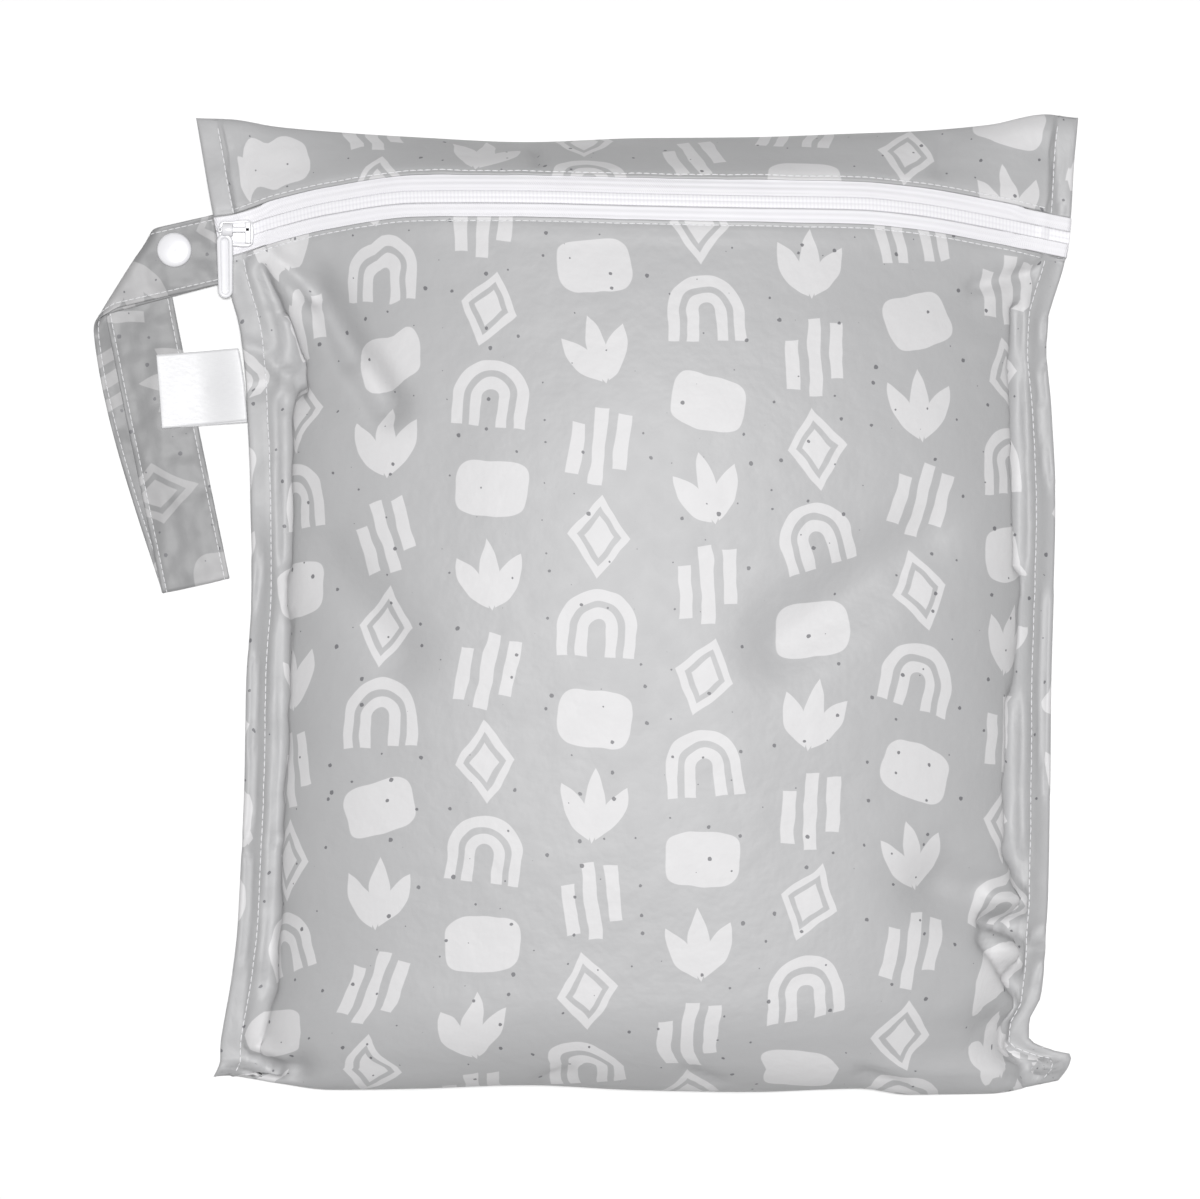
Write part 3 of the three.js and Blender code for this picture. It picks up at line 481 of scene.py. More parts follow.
def flat_places(points):
    """Where each point of a grid lies on the flat cut: the two arc lengths, in mm."""
    return np.stack([arc(points, 0), arc(points, 1)], axis=2)


def quads_of(numbers):
    """The quads between neighbours of a grid of point numbers, as a grid of quads."""
    return np.stack([numbers[:-1, :-1], numbers[1:, :-1], numbers[1:, 1:], numbers[:-1, 1:]], axis=2)


def quads_round(rows, columns, rows_meet=False, columns_meet=False):
    """The quads of a grid of points whose last row or column may meet its first again."""
    numbers = np.arange(rows * columns).reshape(rows, columns)
    if rows_meet:
        numbers = np.concatenate([numbers, numbers[:1]])
    if columns_meet:
        numbers = np.concatenate([numbers, numbers[:, :1]], axis=1)
    return quads_of(numbers).reshape(-1, 4)


def add_object(name, points, faces, material, uv=None):
    """A mesh object from points in mm and faces; uv gives a flat place, in mm, for each face's corners."""
    mesh = bpy.data.meshes.new(name)
    mesh.from_pydata((np.asarray(points) * MM).tolist(), [], [list(face) for face in faces])
    if uv is not None:
        layer = mesh.uv_layers.new(name="FlatCut")
        layer.data.foreach_set("uv", np.asarray(uv, dtype=np.float32).ravel())
    work = bmesh.new()
    work.from_mesh(mesh)
    bmesh.ops.remove_doubles(work, verts=work.verts, dist=WELD * MM)
    work.to_mesh(mesh)
    work.free()
    mesh.polygons.foreach_set("use_smooth", np.ones(len(mesh.polygons), dtype=bool))
    mesh.materials.append(material)
    mesh.update()
    piece = bpy.data.objects.new(name, mesh)
    bpy.context.scene.collection.objects.link(piece)
    return piece


EVERY = slice(None)
# The edge lines of a grid, and whether the wall along one is turned round.
GRID_EDGES = [
    ((EVERY, 0), False),
    ((EVERY, -1), True),
    ((0, EVERY), True),
    ((-1, EVERY), False),
]


def closed_shell(name, top, under, material, top_uv, under_uv, keep=None):
    """Two grids with the walls that join their edges; keep says which of the top's quads stay."""
    count = top.shape[0] * top.shape[1]
    numbers = np.arange(count).reshape(top.shape[:2])
    below = numbers + count
    places = np.concatenate([top_uv.reshape(-1, 2), under_uv.reshape(-1, 2)])
    top_quads = quads_of(numbers)
    top_quads = top_quads[keep] if keep is not None else top_quads.reshape(-1, 4)
    faces = [top_quads, quads_of(below)[..., ::-1].reshape(-1, 4)]
    for line, turned_round in GRID_EDGES:
        up = numbers[line]
        down = below[line]
        wall = np.stack([up[:-1], down[:-1], down[1:], up[1:]], axis=1)
        same = np.linalg.norm(top[line] - under[line], axis=1) < WELD
        wall = wall[~(same[:-1] & same[1:])]
        faces.append(wall[:, ::-1] if turned_round else wall)
    faces = np.concatenate(faces)
    points = np.concatenate([top.reshape(-1, 3), under.reshape(-1, 3)])
    return add_object(name, points, faces, material, places[faces.ravel()])


def thicken(piece, wall):
    """Gives a skin a wall on its inside."""
    solid = piece.modifiers.new("Ply", "SOLIDIFY")
    solid.thickness = wall * MM
    solid.offset = -1
    solid.use_even_offset = False


# --- Materials ---------------------------------------------------------------------------------------


TURN = math.tau


class Value:
    """A number that varies over a surface; an expression on values adds its Math nodes."""

    def __init__(self, paint, socket):
        self.paint = paint
        self.socket = socket

    def math(self, operation, *others):
        found = self.paint.node("ShaderNodeMath", {"operation": operation}, [self, *others])
        return found.value("Value")

    __add__ = __radd__ = partialmethod(math, "ADD")
    __mul__ = __rmul__ = partialmethod(math, "MULTIPLY")
    __sub__ = partialmethod(math, "SUBTRACT")
    __truediv__ = partialmethod(math, "DIVIDE")
    __mod__ = partialmethod(math, "FLOORED_MODULO")
    __pow__ = partialmethod(math, "POWER")
    __abs__ = partialmethod(math, "ABSOLUTE")
    __lt__ = partialmethod(math, "LESS_THAN")
    floor = partialmethod(math, "FLOOR")
    smaller = partialmethod(math, "MINIMUM")
    larger = partialmethod(math, "MAXIMUM")

    def __rsub__(self, other):
        return (self * -1) + other

    def sine(self, pitch):
        return (self * (TURN / pitch)).math("SINE")

    def step(self, low, high):
        """0 at low, 1 at high, smooth between."""
        settings = {"interpolation_type": "SMOOTHSTEP"}
        values = {"Value": self, "From Min": low, "From Max": high}
        return self.paint.node("ShaderNodeMapRange", settings, values).value("Result")


class Node:
    def __init__(self, paint, node):
        self.paint = paint
        self.node = node

    def value(self, output):
        return Value(self.paint, self.node.outputs[output])


class Paint:
    """One material, with its Principled shader."""

    def __init__(self, name, **fixed):
        self.material = bpy.data.materials.new(name)
        self.material.use_nodes = True
        self.tree = self.material.node_tree
        self.shader = next(n for n in self.tree.nodes if n.type == "BSDF_PRINCIPLED")
        for socket, value in fixed.items():
            self.shader.inputs[socket.replace("_", " ")].default_value = value

    def node(self, kind, settings, values):
        """A node of a kind; its settings are set first, then its sockets, by name or in order."""
        made = self.tree.nodes.new(kind)
        for key, value in settings.items():
            setattr(made, key, value)
        pairs = values.items() if isinstance(values, dict) else enumerate(values)
        for socket, value in pairs:
            self.feed(made.inputs[socket], value)
        return Node(self, made)

    def feed(self, socket, value):
        if isinstance(value, Value):
            self.tree.links.new(value.socket, socket)
        else:
            socket.default_value = value

    def flat_cut(self):
        """The piece's own flat place, in mm."""
        places = self.node("ShaderNodeUVMap", {"uv_map": "FlatCut"}, {})
        split = self.node("ShaderNodeSeparateXYZ", {}, [places.value("UV")])
        return split.value("X"), split.value("Y")

    def object_place(self):
        return self.node("ShaderNodeTexCoord", {}, {}).value("Object")

    def vector(self, x, y, z=0.0):
        return self.node("ShaderNodeCombineXYZ", {}, [x, y, z]).value("Vector")

    def noise(self, place, scale, detail=2.0, roughness=0.5):
        values = {"Vector": place, "Scale": scale, "Detail": detail, "Roughness": roughness}
        return self.node("ShaderNodeTexNoise", {}, values).value("Fac")

    def mix(self, share, first, second):
        """A blend of two colours."""
        made = self.tree.nodes.new("ShaderNodeMix")
        made.data_type = "RGBA"
        inputs = [s for s in made.inputs if s.enabled]
        for socket, value in zip(inputs, (share, first, second)):
            self.feed(socket, value)
        return Value(self, next(s for s in made.outputs if s.enabled))

    def bump(self, height, distance, strength=1.0, below=None):
        values = {"Height": height, "Distance": distance * MM, "Strength": strength}
        if below is not None:
            values["Normal"] = below
        return self.node("ShaderNodeBump", {}, values).value("Normal")

    def finish(self, **varying):
        for socket, value in varying.items():
            self.feed(self.shader.inputs[socket.replace("_", " ")], value)
        return self.material


# The print: a half-drop of cut-paper shapes. Sizes in mm.
PRINT_PITCH_X = 37
PRINT_PITCH_Y = 31
PRINT_TILT = 0.32  # most turn of a shape, in radians
CUT_WOBBLE = 1.3
GROUND = (0.39, 0.39, 0.396)
MOTIF = (0.58, 0.575, 0.582)
PRINT_GROWTH = 1.1  # the shapes' size over the one they are drawn at
SPECK = (0.12, 0.12, 0.13)
SPECK_PITCH = 11
SPECK_SIZE = 0.108  # a speck's radius, in pitches, is a random share of this less the next; below 0 is none
SPECK_LEAST = 0.034
CUT_EDGE = 0.14  # half the width over which a shape's edge fades

# Linear colours of the plain materials: the darker and the paler shade, and that of cords and grooves. The
# coil's darker and groove colours and the thread's darker one are painted shade.
TAPE_COLOURS = ((0.71, 0.70, 0.73, 1), (0.76, 0.755, 0.775, 1), (0.64, 0.63, 0.67, 1))
COIL_COLOURS = ((0.70, 0.69, 0.72, 1), (0.75, 0.745, 0.765, 1), (0.6, 0.59, 0.63, 1))
PLASTIC_COLOURS = ((0.68, 0.675, 0.7, 1), (0.72, 0.72, 0.735, 1))
SATIN_COLOURS = ((0.64, 0.64, 0.655, 1), (0.7, 0.7, 0.71, 1))
THREAD_COLOURS = ((0.66, 0.66, 0.68, 1), (0.82, 0.82, 0.83, 1))
FLOOR_COLOURS = ((0.8, 0.8, 0.8, 1), (0.82, 0.82, 0.82, 1))


def shade_of(colour, share):
    """A colour times a share, with its alpha."""
    return tuple(channel * share for channel in colour) + (1,)


def turned(p, q, angle):
    """Places turned by a fixed angle."""
    c, s = math.cos(angle), math.sin(angle)
    return p * c + q * s, q * c - p * s


def leaf(p, q, width, length):
    """A pointed leaf: half width is width times 1 less (q over length) squared."""
    return (1 - (q / length) ** 2) * width - abs(p)


def leaf_spray(p, q):
    left = turned(p + 5.6, q + 0.6, 0.5)
    right = turned(p - 5.6, q + 0.6, -0.5)
    spray = leaf(*left, 3.5, 9.5).larger(leaf(*right, 3.5, 9.5))
    return spray.larger(leaf(p, q - 1.6, 3.3, 11.5))


def pebble(p, q):
    """A soft square: the fourth root of the two sides' fourth powers, less its size."""
    side = ((p / 11.5) ** 4 + (q / 8.6) ** 4) ** 0.25
    return (1 - side) * 9


def band(distance, middle, half):
    return half - abs(distance - middle)


def arches(p, q):
    """Two bands round a middle, with upright legs below it."""
    over = (p * p + q.larger(0) ** 2) ** 0.5
    ends = (q + 9).smaller(20)
    return band(over, 10.2, 1.75).larger(band(over, 4.6, 1.75)).smaller(ends)


def lozenge(p, q):
    """A diamond with a diamond ring cut out of it."""
    reach = abs(p) / 9.5 + abs(q) / 13
    return ((1 - reach) * 7).smaller((abs(reach - 0.6) - 0.11) * 7)


def bars(p, q):
    """Three upright bars of their own lengths."""
    middle = (2.1 - abs(p)).smaller(12 - abs(q))
    left = (2.1 - abs(p + 7)).smaller(8 - abs(q + 2))
    right = (2.1 - abs(p - 7)).smaller(8.5 - abs(q - 2.2))
    return middle.larger(left).larger(right)


SHAPES = [leaf_spray, pebble, arches, lozenge, bars]


def printed_colour(paint, u, v, depth):
    """Ground, cut-paper shapes on a half-drop lattice, and small dark specks."""
    place = paint.vector(u, v)
    column = (u / PRINT_PITCH_X).floor()
    dropped = v + (column % 2) * (PRINT_PITCH_Y / 2)
    row = (dropped / PRINT_PITCH_Y).floor()
    here = {"Vector": paint.vector(column, row)}
    chance = paint.node("ShaderNodeTexWhiteNoise", {"noise_dimensions": "2D"}, here).value("Value")
    wobble_p = paint.noise(place, 0.085, 1.0) - 0.5
    wobble_q = paint.noise(paint.vector(u + 300, v), 0.085, 1.0) - 0.5
    p = u - (column + 0.5) * PRINT_PITCH_X + wobble_p * (2 * CUT_WOBBLE)
    q = dropped - (row + 0.5) * PRINT_PITCH_Y + wobble_q * (2 * CUT_WOBBLE)
    tilt = (chance - 0.5) * (2 * PRINT_TILT)
    p, q = (p + q * tilt) / PRINT_GROWTH, (q - p * tilt) / PRINT_GROWTH
    kind = (column * 2 + row) % len(SHAPES)
    mask = None
    for number, shape in enumerate(SHAPES):
        here = (abs(kind - number) < 0.5) * shape(p, q).step(-CUT_EDGE, CUT_EDGE)
        mask = here if mask is None else mask + here
    cells = {"feature": "F1", "voronoi_dimensions": "2D"}
    dots = paint.node("ShaderNodeTexVoronoi", cells, {"Vector": place, "Scale": 1 / SPECK_PITCH})
    lot = paint.node("ShaderNodeSeparateColor", {}, [dots.value("Color")]).value("Red")
    ragged = (paint.noise(place, 1.1, 1.0) - 0.5) * 0.05
    reach = (lot * SPECK_SIZE - SPECK_LEAST) + ragged - dots.value("Distance")
    speck = reach.step(-0.004, 0.01)
    cloud = paint.noise(place, 0.02, 3.0)
    # depth scales ground and motif; below 1 this is painted shade.
    ground = paint.mix(cloud, shade_of(GROUND, 0.97 * depth), shade_of(GROUND, 1.03 * depth))
    motif = paint.mix(paint.noise(place, 0.9, 3.0), shade_of(MOTIF, 0.97 * depth), shade_of(MOTIF, depth))
    return paint.mix(speck * 0.85, paint.mix(mask, ground, motif), shade_of(SPECK, 1)), mask


def printed_cloth(name, depth=1.0, crumpled=0.8, crumples=0.11):
    """Waterproof knit laminate: smooth and slightly shiny, with its fine knit and handling creases.

    depth: a share of the print's colours; below 1 it is painted shade, which darkens ground and motif
    alike. crumpled: height of the creases in mm. crumples: how many a mm.
    """
    paint = Paint(name, Specular_IOR_Level=0.4)
    u, v = paint.flat_cut()
    place = paint.vector(u, v)
    colour, mask = printed_colour(paint, u, v, depth)
    knit = u.sine(0.62) * v.sine(0.5)
    crumple = paint.noise(place, crumples, 2.0, 0.45)
    fine = paint.noise(place, 0.42, 2.0)
    soft = paint.bump(crumple, crumpled, 0.5)
    small = paint.bump(fine, 0.16, 0.5, soft)
    normal = paint.bump(knit, 0.02, 0.5, small)
    rough = (crumple - 0.5) * 0.12 + 0.5 + mask * 0.04
    return paint.finish(Base_Color=colour, Roughness=rough, Normal=normal)


def woven_tape():
    """Twill tape: fine slanting ribs across it, and a few raised cords along it."""
    paint = Paint("ZipperTape", Sheen_Weight=0.1, Specular_IOR_Level=0.35)
    u, v = paint.flat_cut()
    twill = (u + v * 0.6).sine(0.75)
    cords = v.sine(2.1)
    shade = paint.noise(paint.vector(u, v), 0.06, 2.0)
    dark, pale, cord = TAPE_COLOURS
    colour = paint.mix(shade, dark, pale)
    colour = paint.mix(cords.step(0.55, 1.0) * 0.2, colour, cord)
    normal = paint.bump(twill, 0.05, 0.7, paint.bump(cords, 0.12, 0.6))
    return paint.finish(Base_Color=colour, Roughness=twill * 0.05 + 0.78, Normal=normal)


def coil_finish():
    """Nylon under a fine knit, with painted shade: paler on the ribs, greyer between them and along the
    groove between the two rows.
    """
    paint = Paint("ZipperCoil", Specular_IOR_Level=0.4)
    u, v = paint.flat_cut()
    ribs = u.sine(COIL_PITCH)
    middle = 1 - abs(v / 0.42).step(0.0, 1.0)
    dark, pale, groove_shade = COIL_COLOURS
    # Painted shade: darker between the ribs and along the middle groove.
    colour = paint.mix(ribs.step(-1.0, 0.6), dark, pale)
    colour = paint.mix(middle * 0.2, colour, groove_shade)
    grain = paint.noise(paint.vector(u, v), 1.4, 2.0)
    normal = paint.bump(grain, 0.05, 0.6)
    return paint.finish(Base_Color=colour, Roughness=grain * 0.2 + 0.42, Normal=normal)


def moulded_plastic():
    """White acetal: smooth, with a faint mould texture and dulled by handling in patches."""
    paint = Paint("WhitePlastic", Specular_IOR_Level=0.5, Coat_Roughness=0.12)
    place = paint.object_place()
    patches = paint.noise(place, 160.0, 3.0)
    grain = paint.noise(place, 2600.0, 2.0)
    colour = paint.mix(patches, *PLASTIC_COLOURS)
    return paint.finish(
        Base_Color=colour,
        Roughness=patches * 0.12 + 0.24,
        Coat_Weight=patches * 0.2 + 0.15,
        Normal=paint.bump(grain, 0.01, 0.5),
    )


def label_satin():
    """Satin ribbon: fine floats along its length, which catch the light in streaks."""
    paint = Paint("LabelSatin", Sheen_Weight=0.1, Specular_IOR_Level=0.5, Anisotropic=0.5)
    u, v = paint.flat_cut()
    floats = paint.noise(paint.vector(u * 0.35, v * 3.2), 1.3, 3.0)
    weave = v.sine(0.42)
    colour = paint.mix(floats, *SATIN_COLOURS)
    normal = paint.bump(weave, 0.02, 0.6, paint.bump(floats, 0.05, 0.6))
    return paint.finish(Base_Color=colour, Roughness=floats * 0.14 + 0.34, Normal=normal)


def thread_finish():
    """Polyester thread: two plies twisted round one another, with painted shade darker in the grooves
    between them.
    """
    paint = Paint("SewingThread", Sheen_Weight=0.15, Specular_IOR_Level=0.4)
    u, v = paint.flat_cut()
    twist = (u * 3.2 + v).sine(1)
    # Painted shade: darker where the twist dips between the plies.
    colour = paint.mix(twist.step(-1.0, 0.2), *THREAD_COLOURS)
    normal = paint.bump(twist, 0.05, 0.7)
    return paint.finish(Base_Color=colour, Roughness=twist * 0.06 + 0.6, Normal=normal)


CLOTH = printed_cloth("PrintedCloth")
# Painted shade: the strap's copy of the print is darkened to 0.66 of its colours.
SHADED_STRAP_CLOTH = printed_cloth("ShadedStrapCloth", depth=0.66, crumpled=14.0, crumples=0.045)
TAPE = woven_tape()
COIL = coil_finish()
PLASTIC = moulded_plastic()
SATIN = label_satin()
THREAD = thread_finish()


# --- Stitches ----------------------------------------------------------------------------------------


def stitch_line(path, normals, pitch, radius=THREAD_RADIUS, share=0.86):
    """Separate stitches along a path: short tubes that rise out of the cloth and dip back into it.

    A stitch's rings stand at five shares of its length. Their height over the cloth follows a half sine,
    and their radius the square root of one.
    """
    step = np.linalg.norm(np.diff(path, axis=0), axis=1)
    length = np.concatenate([[0], np.cumsum(step)])
    count = int(length[-1] / pitch)
    sides = 6
    shares = np.array([0, 0.16, 0.5, 0.84, 1])
    rings = len(shares)
    start = (np.arange(count) + (1 - share) / 2) * pitch
    at = start[:, None] + shares[None, :] * pitch * share

    def along(values):
        return np.stack([np.interp(at, length, values[:, k]) for k in range(3)], axis=-1)

    middle = along(path)
    normal = along(normals)
    normal /= np.linalg.norm(normal, axis=-1, keepdims=True)
    tangent = np.gradient(middle, axis=1)
    tangent /= np.linalg.norm(tangent, axis=-1, keepdims=True)
    sideways = np.cross(tangent, normal)
    swell = np.sin(np.pi * lerp(0.09, 0.91, shares))
    middle = middle + normal * (lerp(-0.45, 0.62, swell) * radius)[None, :, None]
    angle = np.arange(sides) / sides * math.tau
    size = radius * np.sqrt(swell)[None, :, None, None]
    ring = normal[:, :, None] * np.cos(angle)[:, None] + sideways[:, :, None] * np.sin(angle)[:, None]
    points = middle[:, :, None] + ring * size
    numbers = np.arange(count * rings * sides).reshape(count, rings, sides)
    after = np.roll(numbers, -1, axis=2)
    walls = np.stack([numbers[:, :-1], after[:, :-1], after[:, 1:], numbers[:, 1:]], axis=-1)
    around = np.broadcast_to(np.arange(sides) / sides, numbers.shape)
    flat = np.stack([np.broadcast_to(at[:, :, None], numbers.shape), around], axis=-1)
    ends = np.concatenate([numbers[:, 0, ::-1], numbers[:, -1]])
    return points.reshape(-1, 3), walls.reshape(-1, 4), ends, flat.reshape(-1, 2)


def sew(name, lines):
    """One piece for several lines of stitches."""
    points, faces, places, first = [], [], [], 0
    for line_points, walls, ends, flat in lines:
        points.append(line_points)
        faces += [list(face) for face in walls + first]
        faces += [list(face) for face in ends + first]
        places.append(flat)
        first += len(line_points)
    flat = np.concatenate(places)
    corners = np.concatenate([np.asarray(face) for face in faces])
    return add_object(name, np.concatenate(points), faces, THREAD, flat[corners])


# --- The bag's cloth ---------------------------------------------------------------------------------

FLANGE_STEPS = np.array([0, 0.12, 0.45, 1.0, 2.0, 3.4, 4.8, 5.9, 6.5, 7.0]) / 7.0
SHELF_STEPS = np.array([0.1, 0.24, 0.42, 0.62, 0.82])
CROWN_STEPS = 124
HEM_STEPS = np.array([0, 0.25, 0.6, 1.0, 1.5, 2.0, 2.6, 3.6, 5.0, 6.6, 8.2])
# row, and the step between rows there: closer where the folds are sharp
ROW_STEPS = [
    (0.05, 0.007),
    (0.1, 0.0095),
    (0.13, 0.0055),
    (0.24, 0.0055),
    (0.28, 0.0105),
    (0.69, 0.0105),
    (0.73, 0.0058),
    (0.83, 0.0058),
]
FOLD_ROWS = [0, 0.0008, 0.003, 0.0065, 0.011, 0.016, 0.0215, 0.027, 0.033, 0.039, 0.046, 0.053]
# shares of the way from the slit to the top fold
HEADER_STEPS = [
    0, 0.02, 0.045, 0.075, 0.11, 0.15, 0.2, 0.27, 0.35, 0.44,
    0.53, 0.62, 0.71, 0.8, 0.87, 0.93, 0.97, 0.992, 1,
]
SLIT_STEPS = 4
BACK_CUT = 900  # how far off the back lies on the flat cut


def crown_shares():
    """-1 to 1, closer at the ends: three parts of a cosine to one of a straight line."""
    t = np.linspace(0, 1, CROWN_STEPS + 1)
    return 0.75 * -np.cos(math.pi * t) + 0.25 * (2 * t - 1)


def column_grid(rows):
    """X of every column at every row: left flange, left shelf, crown, right shelf, right flange."""
    lines = []
    for side in (-1, 1):
        outer, stitch, crease = side_x(side, rows)
        flange = lerp(outer, stitch, FLANGE_STEPS[:, None])
        shelf = lerp(stitch, crease, SHELF_STEPS[:, None])
        lines.append(np.concatenate([flange, shelf]))
    left = side_x(-1, rows)[2]
    right = side_x(1, rows)[2]
    crown = lerp(left, right, (crown_shares()[:, None] + 1) / 2)
    return np.concatenate([lines[0], crown, lines[1][::-1]])


ROWS_PER_MM = SLIT_LOW_ROW / (row_y(0.0, SLIT_LOW_ROW) - row_y(0.0, 0.0))


def front_rows():
    """Rows of the front, close at the folds and in even steps of distance beside the slit."""
    hem = SLIT_LOW_ROW - HEM_STEPS[::-1] * ROWS_PER_MM
    middle_start, middle_end = FOLD_ROWS[-1], hem[0]
    places, steps = zip(*ROW_STEPS)
    reached = [middle_start]
    while reached[-1] < middle_end:
        reached.append(reached[-1] + np.interp(reached[-1], places, steps))
    shares = (np.array(reached) - middle_start) / (reached[-1] - middle_start)
    middle = lerp(middle_start, middle_end, shares)[1:-1]
    slit = np.linspace(SLIT_LOW_ROW, SLIT_HIGH_ROW, SLIT_STEPS + 1)[1:-1]
    header = SLIT_HIGH_ROW + (1 - SLIT_HIGH_ROW) * np.array(HEADER_STEPS)
    return np.concatenate([FOLD_ROWS, middle, hem, slit, header])


ROWS = front_rows()
SLIT_LOW = int(np.argmin(np.abs(ROWS - SLIT_LOW_ROW)))
SLIT_HIGH = int(np.argmin(np.abs(ROWS - SLIT_HIGH_ROW)))
ROW_GRID = ROWS[None, :]
X_GRID = column_grid(ROW_GRID)
Y_GRID = row_y(X_GRID, ROW_GRID)


def from_stitch():
    """Distance inward from the nearest side topstitch; negative on the flange."""
    left = X_GRID - side_x(-1, ROW_GRID)[1]
    right = side_x(1, ROW_GRID)[1] - X_GRID
    return np.minimum(left, right)


def seam_puckers(inward):
    """Short puckers that run in from each side seam, other ones on each side."""
    side = np.where(X_GRID < 0, 1.0, 7.0)
    long_ones = waves(Y_GRID + side * 31, inward, 8.5, 30, 21)
    short_ones = waves(Y_GRID - side * 17, inward, 4.6, 18, 22)
    return SEAM_PUCKERS * (long_ones + 0.5 * short_ones)


def front_relief():
    """What the face does over the smooth bag: waves, puckers along the sewing, creases and rolls."""
    inward = from_stitch()
    below = row_y(X_GRID, SLIT_LOW_ROW) - Y_GRID
    above = Y_GRID - row_y(X_GRID, SLIT_HIGH_ROW)
    hem = np.where(below > 0, below, np.maximum(above, 0))
    relief = wave_sum(WAVES, X_GRID, Y_GRID) * smooth(inward / 16)
    relief += seam_puckers(inward) * bump((inward - 5) / 14) * smooth((inward + 8) / 10)
    relief += wave_sum(HEM_PUCKERS, X_GRID, hem) * bump(hem / 8) * smooth(inward / 8)
    relief += wave_sum(HEADER_WAVES, X_GRID, Y_GRID) * smooth(above / 6) * smooth(inward / 10)
    relief -= SEAM_GROOVE * bump(inward / 0.8)
    relief -= HEM_GROOVE * bump((hem - HEM_STITCH_INSET) / 0.7) * (inward > -6)
    relief += HEM_RIDGE * smooth(1 - (hem - HEM_PLY) / 1.6) * smooth(inward / 2)
    relief -= HEM_ROUND * (1 - rounded(hem, 0.6))
    for line in CREASES:
        height, share = bell_along(X_GRID, Y_GRID, line)
        relief += height * smooth(1.25 - np.abs(2 * share - 1) * 0.55)
    fold = np.minimum(ROW_GRID, 1 - ROW_GRID)
    most = lerp(0.4, PUFF_HEIGHT, smooth((inward - 0.5) / 7))
    room = RELIEF_SHARE * (front_z(X_GRID, ROW_GRID) - back_z(X_GRID, ROW_GRID))
    return np.clip(relief, -np.minimum(most, np.maximum(room, 0.1)), most) * smooth(fold / 0.01)


def body_grids():
    """The front and the back of the cloth, which share their outer edges."""
    front = np.stack([X_GRID, Y_GRID, front_z(X_GRID, ROW_GRID)], axis=2)
    back = np.stack([X_GRID, Y_GRID, back_z(X_GRID, ROW_GRID)], axis=2)
    normal = normals_of(front)
    front = front + normal * front_relief()[:, :, None]

    inward = from_stitch()
    side = np.where(X_GRID < 0, 1.0, 7.0)
    flap = wave_sum(FLANGE_WAVES, Y_GRID, side) * smooth((3 - inward) / 8)
    free = np.where(X_GRID > 0, 1.0, smooth((STRAP_FREE_BELOW - Y_GRID) / 25))
    flap = flap - FLANGE_DROOP * free * smooth((3 - inward) / 9)
    for line in SHARED_FOLDS:
        flap = flap + bell_along(X_GRID, Y_GRID, line)[0] * smooth((10 - inward) / 8)
    lowest = 0.05 - back[..., 2]
    flap = np.where(flap < lowest, lowest * (1 - np.exp(-flap / np.minimum(lowest, -0.01))), flap)
    front[..., 2] += flap
    back[..., 2] += flap

    edge = np.minimum(X_GRID - side_x(-1, ROW_GRID)[0], side_x(1, ROW_GRID)[0] - X_GRID)
    roll = rounded(edge, 1.0)
    middle = (front[..., 2] + back[..., 2]) / 2
    front[..., 2] = lerp(middle, front[..., 2], roll)
    back[..., 2] = lerp(middle, back[..., 2], roll)

    settle = SETTLE + wave_sum(SETTLE_WAVES, X_GRID, Y_GRID)
    inside = smooth(inward / 12) * smooth(np.minimum(ROW_GRID, 1 - ROW_GRID) / 0.03)
    back[..., 2] += settle * inside
    back[..., 2] += 0.3 * bump(inward / 0.85)
    back[..., 2] = np.maximum(back[..., 2], 0.02)
    for line, _ in GRID_EDGES:
        back[line] = front[line]
    return front, back


FRONT, BACK = body_grids()
FRONT_NORMALS = normals_of(FRONT)


def make_body():
    """One wrap of cloth: the front up to the slit, the header past it, and the back, with a ply's wall."""
    keep = np.ones((X_GRID.shape[0] - 1, len(ROWS) - 1), dtype=bool)
    keep[:, SLIT_LOW:SLIT_HIGH] = False
    front_cut = flat_places(FRONT)
    back_cut = flat_places(BACK) + (0, BACK_CUT)
    bag = closed_shell("bag_cloth", FRONT, BACK, CLOTH, front_cut, back_cut, keep)
    thicken(bag, CLOTH_SHEET)
    return bag


def make_seam_stitches():
    """Topstitching of the side seams, over both faces."""
    lines = []
    column = len(FLANGE_STEPS) - 1
    for i in (column, X_GRID.shape[0] - 1 - column):
        for grid, flip in ((FRONT, 1), (BACK, -1)):
            normals = normals_of(grid) * flip
            below = slice(3, SLIT_LOW + 1)
            above = slice(SLIT_HIGH, len(ROWS) - 3)
            spans = (below, above) if flip > 0 else (slice(3, len(ROWS) - 3),)
            lines += [stitch_line(grid[i, span], normals[i, span], STITCH_PITCH) for span in spans]
    return sew("seam_stitches", lines)


def make_hem_stitches():
    """Topstitching beside the zipper, on both sides of the slit."""
    lines = []
    ends = slice(len(FLANGE_STEPS) + 1, -len(FLANGE_STEPS) - 1)
    hem_row = SLIT_LOW - int(np.argmin(np.abs(HEM_STEPS - HEM_STITCH_INSET)))
    lines.append(stitch_line(FRONT[ends, hem_row], FRONT_NORMALS[ends, hem_row], STITCH_PITCH))
    x = X_GRID[ends, SLIT_HIGH]
    depth = row_y(x, 1.0) - row_y(x, SLIT_HIGH_ROW)
    row = SLIT_HIGH_ROW + (1 - SLIT_HIGH_ROW) * HEM_STITCH_INSET / depth
    share = np.interp(row, ROWS, np.arange(len(ROWS)))
    low = np.floor(share).astype(int)
    t = (share - low)[:, None]
    number = np.arange(X_GRID.shape[0])[ends]
    path = lerp(FRONT[number, low], FRONT[number, low + 1], t)
    lean = lerp(FRONT_NORMALS[number, low], FRONT_NORMALS[number, low + 1], t)
    lines.append(stitch_line(path, lean, STITCH_PITCH))
    return sew("hem_stitches", lines)


# --- Zipper ------------------------------------------------------------------------------------------


